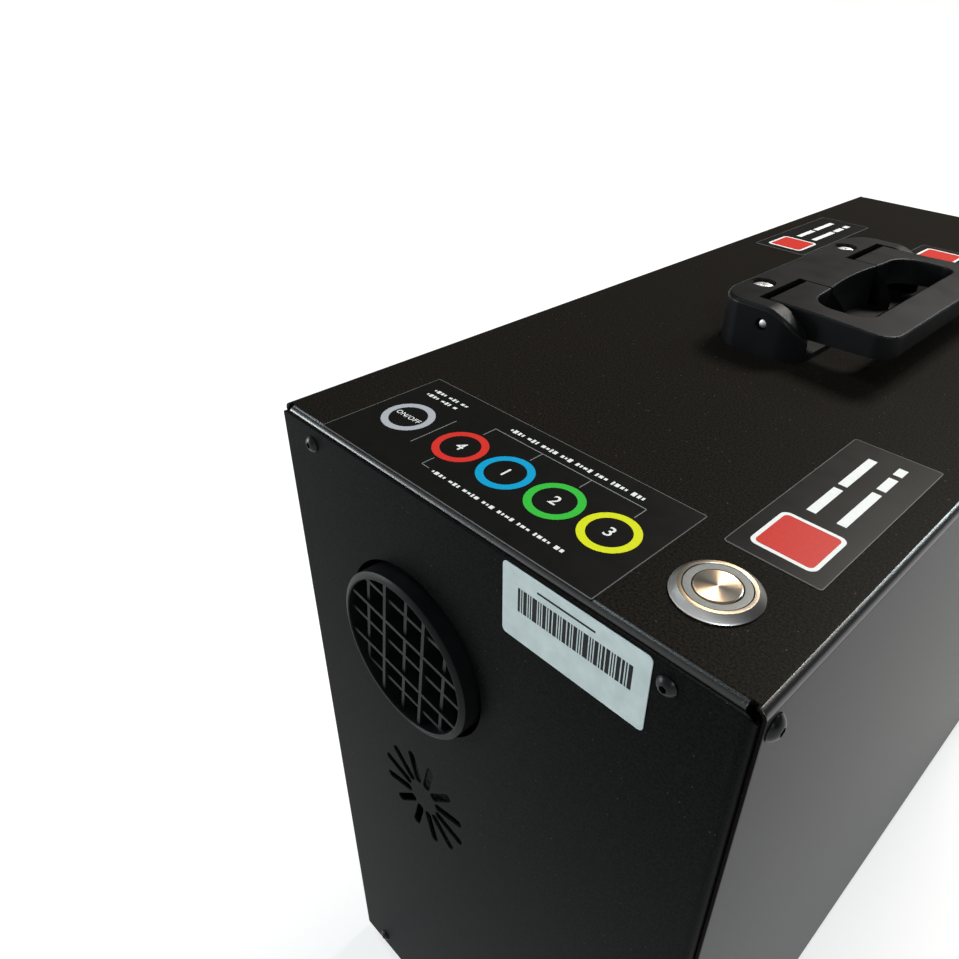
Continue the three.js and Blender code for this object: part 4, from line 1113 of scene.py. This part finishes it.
def handle_bail():
    """Hinge blocks, splayed arms and grip in one moulding, flush with the base on top."""
    left, right = BAIL_LEFT, bail_high.x
    near = HINGE_IN + BLOCK_GAP
    hinge = HINGE_OUT - 1.3 * MM
    inside = [
        (left, near, 0), (3.4 * MM, near, 0.8 * MM), (4.6 * MM, ARM_IN, 11 * MM),
        (30 * MM, ARM_IN, 7 * MM),
    ]
    outside = [
        (left, hinge, 0), (base_high.x + MM, hinge + 0.6 * MM, 0), (right, GRIP_OUT, 8 * MM),
    ]
    outline = (
        [(x, MIDDLE - y, r) for x, y, r in inside]
        + [(x, MIDDLE + y, r) for x, y, r in reversed(inside)]
        + [(x, MIDDLE + y, r) for x, y, r in outside]
        + [(x, MIDDLE - y, r) for x, y, r in reversed(outside)]
    )
    bm = prism(outline, "z", TOP + MM, HANDLE_TOP, 12)
    low = PIN_Z - BARREL
    under = [
        (left - MM, TOP, 0), (right + MM, TOP, 0), (right + MM, TOP + 12 * MM, 0),
        (right - 2 * MM, TOP + 11 * MM, 0), (17 * MM, TOP + 9 * MM, 0), (2 * MM, low, 0),
        (left - MM, low + MM, 0),
    ]
    bm = carved(bm, prism(under, "y", bail_low.y - MM, bail_high.y + MM))
    soften(bm, 0.9 * MM, 4, 40, lambda p: p.z > HANDLE_TOP - TINY)
    soften(bm, 0.5 * MM, 2, 50, lambda p: p.z < HANDLE_TOP - 2 * MM and p.x > 15 * MM)
    for end in (-1, 1):
        bm = fused(bm, rod("y", BARREL, *mirrored(end, near, hinge), PIN_X, PIN_Z))
        bore = rod("y", BARREL_BORE, *mirrored(end, near - MM, hinge + MM), PIN_X, PIN_Z)
        bm = carved(bm, bore)
    finished("handle_bail_moulding", bm, handle_plastic, "handle_bail", body="carry_bail", smooth=26)


def handle_pins():
    """Steel hinge pins with domed ends, in the cheeks' recesses."""
    for place, end in (("front", -1), ("rear", 1)):
        node = "handle_pin_" + place
        low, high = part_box(node)
        radius = (high.x - low.x) / 2
        inner, outer = (high.y, low.y) if end < 0 else (low.y, high.y)
        profile = [
            (0, inner), (radius, inner), (radius, outer - end * 0.7 * MM),
            (radius * 0.8, outer - end * 0.25 * MM), (radius * 0.4, outer), (0, outer),
        ]
        bm = turned(profile, "y", PIN_X, PIN_Z, 40)
        finished(node + "_steel", bm, bright_zinc, node)


def handle_screws():
    """Countersunk screws with cross recesses, down through the spine."""
    shank = 1.9 * MM
    long, thin = 2.4 * MM, 0.5 * MM
    for place in ("front", "rear"):
        node = "handle_screw_" + place
        low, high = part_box(node)
        centre = (low + high) / 2
        head = high.x - centre.x
        top = high.z
        profile = [
            (0, low.z), (shank, low.z), (shank, top - 1.3 * MM), (head, top - 1.2 * MM),
            (head, top - 0.8 * MM), (head * 0.75, top - 0.2 * MM), (head * 0.35, top), (0, top),
        ]
        bm = turned(profile, "z", centre.x, centre.y, 48)
        for a, b in ((long, thin), (thin, long)):
            bm = carved(bm, prism(oblong(centre.x, centre.y, a, b), "z", top - MM, top + MM))
        moved(bm, about(centre, "z", 27))
        finished(node + "_cross", bm, bright_zinc, node, smooth=28)


# ---- Outlet, rear grille and fittings ----

GRID_PITCH = 10.1 * MM
GRID_BAR = 1.5 * MM
GRID_DEPTH = 8.0 * MM
GRID_STEP = 0.9 * MM
GRID_TURN = 7.5  # degrees, clockwise seen from the front
GRILLE_RINGS = (11, 22, 33)  # inner radii in mm
GRILLE_BAR = 2.0 * MM
HEATER = middle_of("rotor_shaft")
PIPE_RADIUS = 12.0 * MM
PIPES = (  # in mm: place from the middle, height of the bend, its shift, its run and the wall
    ("exhaust_pipe", -90, 212, -10, 36, 1.2, pipe_steel),
    ("combustion_air_pipe", -6, 208, 8, 34, 2.5, hose_rubber),
)
CAP_PLUG = 12.1 * MM
CAP_HEIGHT = 13.5 * MM
CAP_NOTCHES = 10
NECK_FLANGE = (16 * MM, 24 * MM)
SOCKET_WALL = 3.0 * MM


def outlet_collar():
    """A lip round a square grid whose even bars stand further back."""
    low, high, x, z, outer = round_part("outlet_collar")
    bore = outer - 2.6 * MM
    lip = low.y
    profile = [
        (bore, lip + 0.35 * MM), (bore + 0.35 * MM, lip), (bore + 0.8 * MM, lip),
        (outer - 0.3 * MM, lip + 0.75 * MM), (outer, lip + 1.15 * MM), (outer, high.y), (bore, high.y),
    ]
    bars = []
    for step in (-2, -1, 0, 1, 2):
        shift = step * GRID_PITCH
        half = math.sqrt(bore**2 - shift**2) + 0.8 * MM
        start = lip + MM + (0 if step % 2 else GRID_STEP)
        reach = (start, lip + MM + GRID_DEPTH)
        thin = GRID_BAR / 2
        bars.append(block(x + shift - thin, x + shift + thin, *reach, z - half, z + half))
        bars.append(block(x - half, x + half, *reach, z + shift - thin, z + shift + thin))
    grid = fused(bars.pop(), *bars)
    soften(grid, 0.4 * MM, 3, 40, lambda p: p.y < lip + 2.4 * MM)
    moved(grid, about((x, 0, z), "y", GRID_TURN))
    bm = gathered([turned(profile, "y", x, z, 144), grid])
    finished("outlet_collar_moulding", bm, duct_plastic, "outlet_collar", smooth=30)


def intake_grille():
    """The flanged room-air grille: three rings and six spokes in a rounded rim."""
    low, high, x, z, outer = round_part("intake_grille")
    face = high.y
    bore, body = outer - 9 * MM, outer - 5 * MM
    profile = [
        (bore, low.y), (body, low.y), (body, REAR), (outer, REAR), (outer, REAR + 1.2 * MM),
        (outer - 0.8 * MM, face - 0.6 * MM), (outer - 2.2 * MM, face), (bore + MM, face),
        (bore, face - MM),
    ]
    parts = [turned(profile, "y", x, z, 128)]
    for inner in GRILLE_RINGS:
        band = (inner * MM, inner * MM + GRILLE_BAR)
        parts.append(ring("y", *band, REAR - 2 * MM, REAR + 2 * MM, x, z, 96))
    for turn in (0, 60, 120):
        bar = block(x - bore - MM, x + bore + MM, REAR - 3 * MM, REAR + 2 * MM, z - MM, z + MM)
        parts.append(moved(bar, about((x, 0, z), "y", turn)))
    bm = fused(parts.pop(), *parts)
    finished("intake_grille_moulding", bm, fitting_plastic, "intake_grille", edge=0.3 * MM)


def tube(name, route, wall):
    """A tube along a smooth curve through points, open at both ends."""
    curve = bpy.data.curves.new(name, "CURVE")
    curve.dimensions = "3D"
    curve.resolution_u = 14
    curve.bevel_depth = PIPE_RADIUS
    curve.bevel_resolution = 10
    spline = curve.splines.new("BEZIER")
    spline.bezier_points.add(len(route) - 1)
    for point, place in zip(spline.bezier_points, route):
        point.co = place
        point.handle_left_type = "AUTO"
        point.handle_right_type = "AUTO"
    bm = final_shape(added(name, curve))
    bmesh.ops.remove_doubles(bm, verts=bm.verts, dist=TINY)
    bmesh.ops.recalc_face_normals(bm, faces=bm.faces)
    return walled(bm, wall)


def pipes():
    """The exhaust and the combustion air pipe, from the heater down and out at the rear."""
    x = HEATER.x
    for node, along, height, shift, run, wall, look in PIPES:
        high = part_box(node)[1]
        mouth = PIPE_MOUTHS[node]
        start = MIDDLE + along * MM
        route = [
            (x, start, high.z), (x, start, height * MM), (x + shift * MM, start + run * MM, mouth.z),
            (mouth.x, MIDDLE + 90 * MM, mouth.z), (mouth.x, MIDDLE + 170 * MM, mouth.z),
            (mouth.x, high.y, mouth.z),
        ]
        finished(node + "_tube", tube(node, route, wall * MM), look, node, smooth=50)


def filler():
    """The filler neck's flange and its cap with finger grips."""
    low, high, x, z, reach = round_part("filler_cap")
    face = REAR + 3.3 * MM
    top = face + CAP_HEIGHT
    profile = [
        (0, low.y), (CAP_PLUG, low.y), (CAP_PLUG, face), (reach, face), (reach, top - 3 * MM),
        (reach - 0.8 * MM, top - 1.3 * MM), (reach - 2.5 * MM, top), (0, top),
    ]
    notches = []
    for i in range(CAP_NOTCHES):
        notch = rod("y", 3 * MM, face - MM, face + 20 * MM, x + reach + MM, z, 24)
        notches.append(moved(notch, about((x, 0, z), "y", 360 / CAP_NOTCHES * i)))
    bm = carved(turned(profile, "y", x, z, 120), *notches)
    outline = oblong(x, z, reach - 4 * MM, 3 * MM, 2 * MM)
    bm = fused(bm, prism(outline, "y", top - 0.5 * MM, high.y))
    finished("filler_cap_moulding", bm, fitting_plastic, "filler_cap", body="fuel_cap", edge=0.5 * MM)
    flange = ring("y", *NECK_FLANGE, REAR, REAR + 3 * MM, x, z, 96)
    finished("filler_flange", flange, fitting_plastic, edge=0.6 * MM)


def power_socket():
    """A shroud through the rear panel round two flat pins."""
    low, high, x, z, _ = round_part("power_socket")
    wide, tall = SOCKET_HALF
    flange = prism(corners(low.x, high.x, low.z, high.z, 3 * MM), "y", REAR, high.y)
    body = prism(oblong(x, z, wide, tall, 0.8 * MM), "y", low.y, REAR + MM)
    inside = oblong(x, z, wide - SOCKET_WALL, tall - SOCKET_WALL, MM)
    well = prism(inside, "y", REAR - 12 * MM, high.y + MM)
    bm = carved(fused(flange, body), well)
    finished("power_socket_shroud", bm, fitting_plastic, "power_socket", edge=0.3 * MM)
    blades = [
        prism(oblong(x + side, REAR - 8 * MM, 0.8 * MM, 5 * MM), "z", z - 2.5 * MM, z + 2.5 * MM)
        for side in (-5 * MM, 5 * MM)
    ]
    finished("power_socket_pins", gathered(blades), pin_brass, edge=0.2 * MM)


# ---- Studio ----

CAMERA_PLACE = Vector((0.13634, -0.34562, 0.48236))
CAMERA_BACK = Vector((0.5736, -0.5998, 0.5579))
CAMERA_ROLL = 1.754  # degrees
CAMERA_LENS = 29.73
CAMERA_SHIFT = (-0.0529, 0.00605)
AMBIENT = 0.08
SURROUND = (0.0, 0.12, 1.0, 0.02)  # from this to this direction along Z, the white fades so much
FRONT_CARD = (-0.25, -0.7, 0.0, 0.5)  # from this to this direction along Y, the glow grows so much
FLOOR_HALF = 12.0
FLOOR_COLOR = (0.5, 0.5, 0.5)
FLOOR_GLOW = (0.5, 1.6, 0.62, 1.0)  # from this far to this far, its own white grows so much: dimmer near the object, a painted shade round it


def camera():
    """The camera at the photograph's place, angle and framing."""
    data = bpy.data.cameras.new("camera")
    data.sensor_width = 36
    data.lens = CAMERA_LENS
    data.shift_x, data.shift_y = CAMERA_SHIFT
    data.clip_start = 0.01
    item = added("camera", data)
    item.rotation_mode = "QUATERNION"
    item.location = CAMERA_PLACE
    aim = (-CAMERA_BACK).to_track_quat("-Z", "Y").to_matrix()
    roll = Matrix.Rotation(math.radians(CAMERA_ROLL), 3, "Z")
    item.rotation_quaternion = (aim @ roll).to_quaternion()
    bpy.context.scene.camera = item


def lamp(name, place, aim, size, power, color):
    """A soft box at a place, turned to a point."""
    data = bpy.data.lights.new(name, "AREA")
    data.shape = "RECTANGLE"
    data.size, data.size_y = size
    data.energy = power
    data.color = color
    item = added(name, data)
    item.location = place
    item.rotation_euler = (Vector(aim) - Vector(place)).to_track_quat("-Z", "Y").to_euler()


def lamps():
    """A key above and behind, strips for two bends, and fills for the front and the right."""
    top = (0, MIDDLE, TOP)
    lamp("key_box", (0, 0.8, 1.32), top, (0.36, 0.36), 19, (1.0, 0.95, 0.87))
    lamp("back_strip", (0.32, 1.22, 1.1), (SIDE, FRONT, TOP), (0.22, 0.22), 4.5, (0.8, 0.95, 1.0))
    lamp("left_strip", (-0.75, -0.25, 1.35), (0, FRONT, TOP), (0.12, 0.9), 3.5, (0.8, 0.94, 1.0))
    lamp("front_fill", (-1.35, -1.1, 0.5), (0, FRONT, TOP * 0.8), (0.6, 0.5), 16, (0.9, 0.97, 1.0))
    lamp("right_fill", (0.95, -0.85, 1.15), top, (0.35, 0.35), 7, (0.86, 0.95, 1.0))


def world():
    """A dark studio above a white surround that camera, glossy and transmission rays meet."""
    item = bpy.data.worlds.new("studio")
    item.use_nodes = True
    tree = item.node_tree
    back = tree.nodes["Background"]
    rays = add_node(tree, "LightPath")
    place = add_node(tree, "TexCoord")
    way = add_node(tree, "SeparateXYZ", {0: place.outputs["Generated"]})
    card = ranged(tree, way.outputs["Y"], *FRONT_CARD)
    fade = ranged(tree, way.outputs["Z"], *SURROUND)
    around = reckoned(tree, "MAXIMUM", card, fade)
    inputs = {"Factor": rays.outputs["Is Glossy Ray"], "A": AMBIENT, "B": around}
    glossy = add_node(tree, "Mix", inputs)
    camera_ray, clear_ray = rays.outputs["Is Camera Ray"], rays.outputs["Is Transmission Ray"]
    seen = reckoned(tree, "MAXIMUM", camera_ray, clear_ray)
    final = add_node(tree, "Mix", {"Factor": seen, "A": glossy.outputs["Result"], "B": 1.0})
    feed(tree, final.outputs["Result"], back.inputs["Strength"])
    feed(tree, (1, 1, 1), back.inputs["Color"])
    bpy.context.scene.world = item


def floor():
    """A pale floor that keeps the object's shadow and shows white further out; its own glow is dimmer
    near the object, a painted shade round it.
    """
    bm = bmesh.new()
    bmesh.ops.create_grid(bm, x_segments=1, y_segments=1, size=FLOOR_HALF)
    item = added("floor", mesh_of(bm, "floor"))
    look = Look("floor", FLOOR_COLOR, 0.9, specular=0.0)
    look.set("Emission Color", (1, 1, 1))
    rays = look.node("LightPath")
    seen = rays.outputs["Is Camera Ray"]
    for key in ("Is Glossy Ray", "Is Transmission Ray"):
        seen = reckoned(look.tree, "MAXIMUM", seen, rays.outputs[key])
    # Painted shade: the glow is weaker near the object and grows to full white further out.
    away = look.node("VectorMath", {0: look.place}, operation="LENGTH")
    glow = ranged(look.tree, away.outputs["Value"], *FLOOR_GLOW)
    look.set("Emission Strength", reckoned(look.tree, "MULTIPLY", seen, glow))
    item.data.materials.append(look.material)


# ---- Making ----

camera()
dress_nodes()
cover()
front_panel()
rear_panel()
feet()
case_screws()
legend()
notices()
front_label()
push_button()
handle_base()
handle_bail()
handle_pins()
handle_screws()
outlet_collar()
intake_grille()
pipes()
filler()
power_socket()
lamps()
world()
floor()
bpy.context.scene.view_settings.view_transform = "Standard"
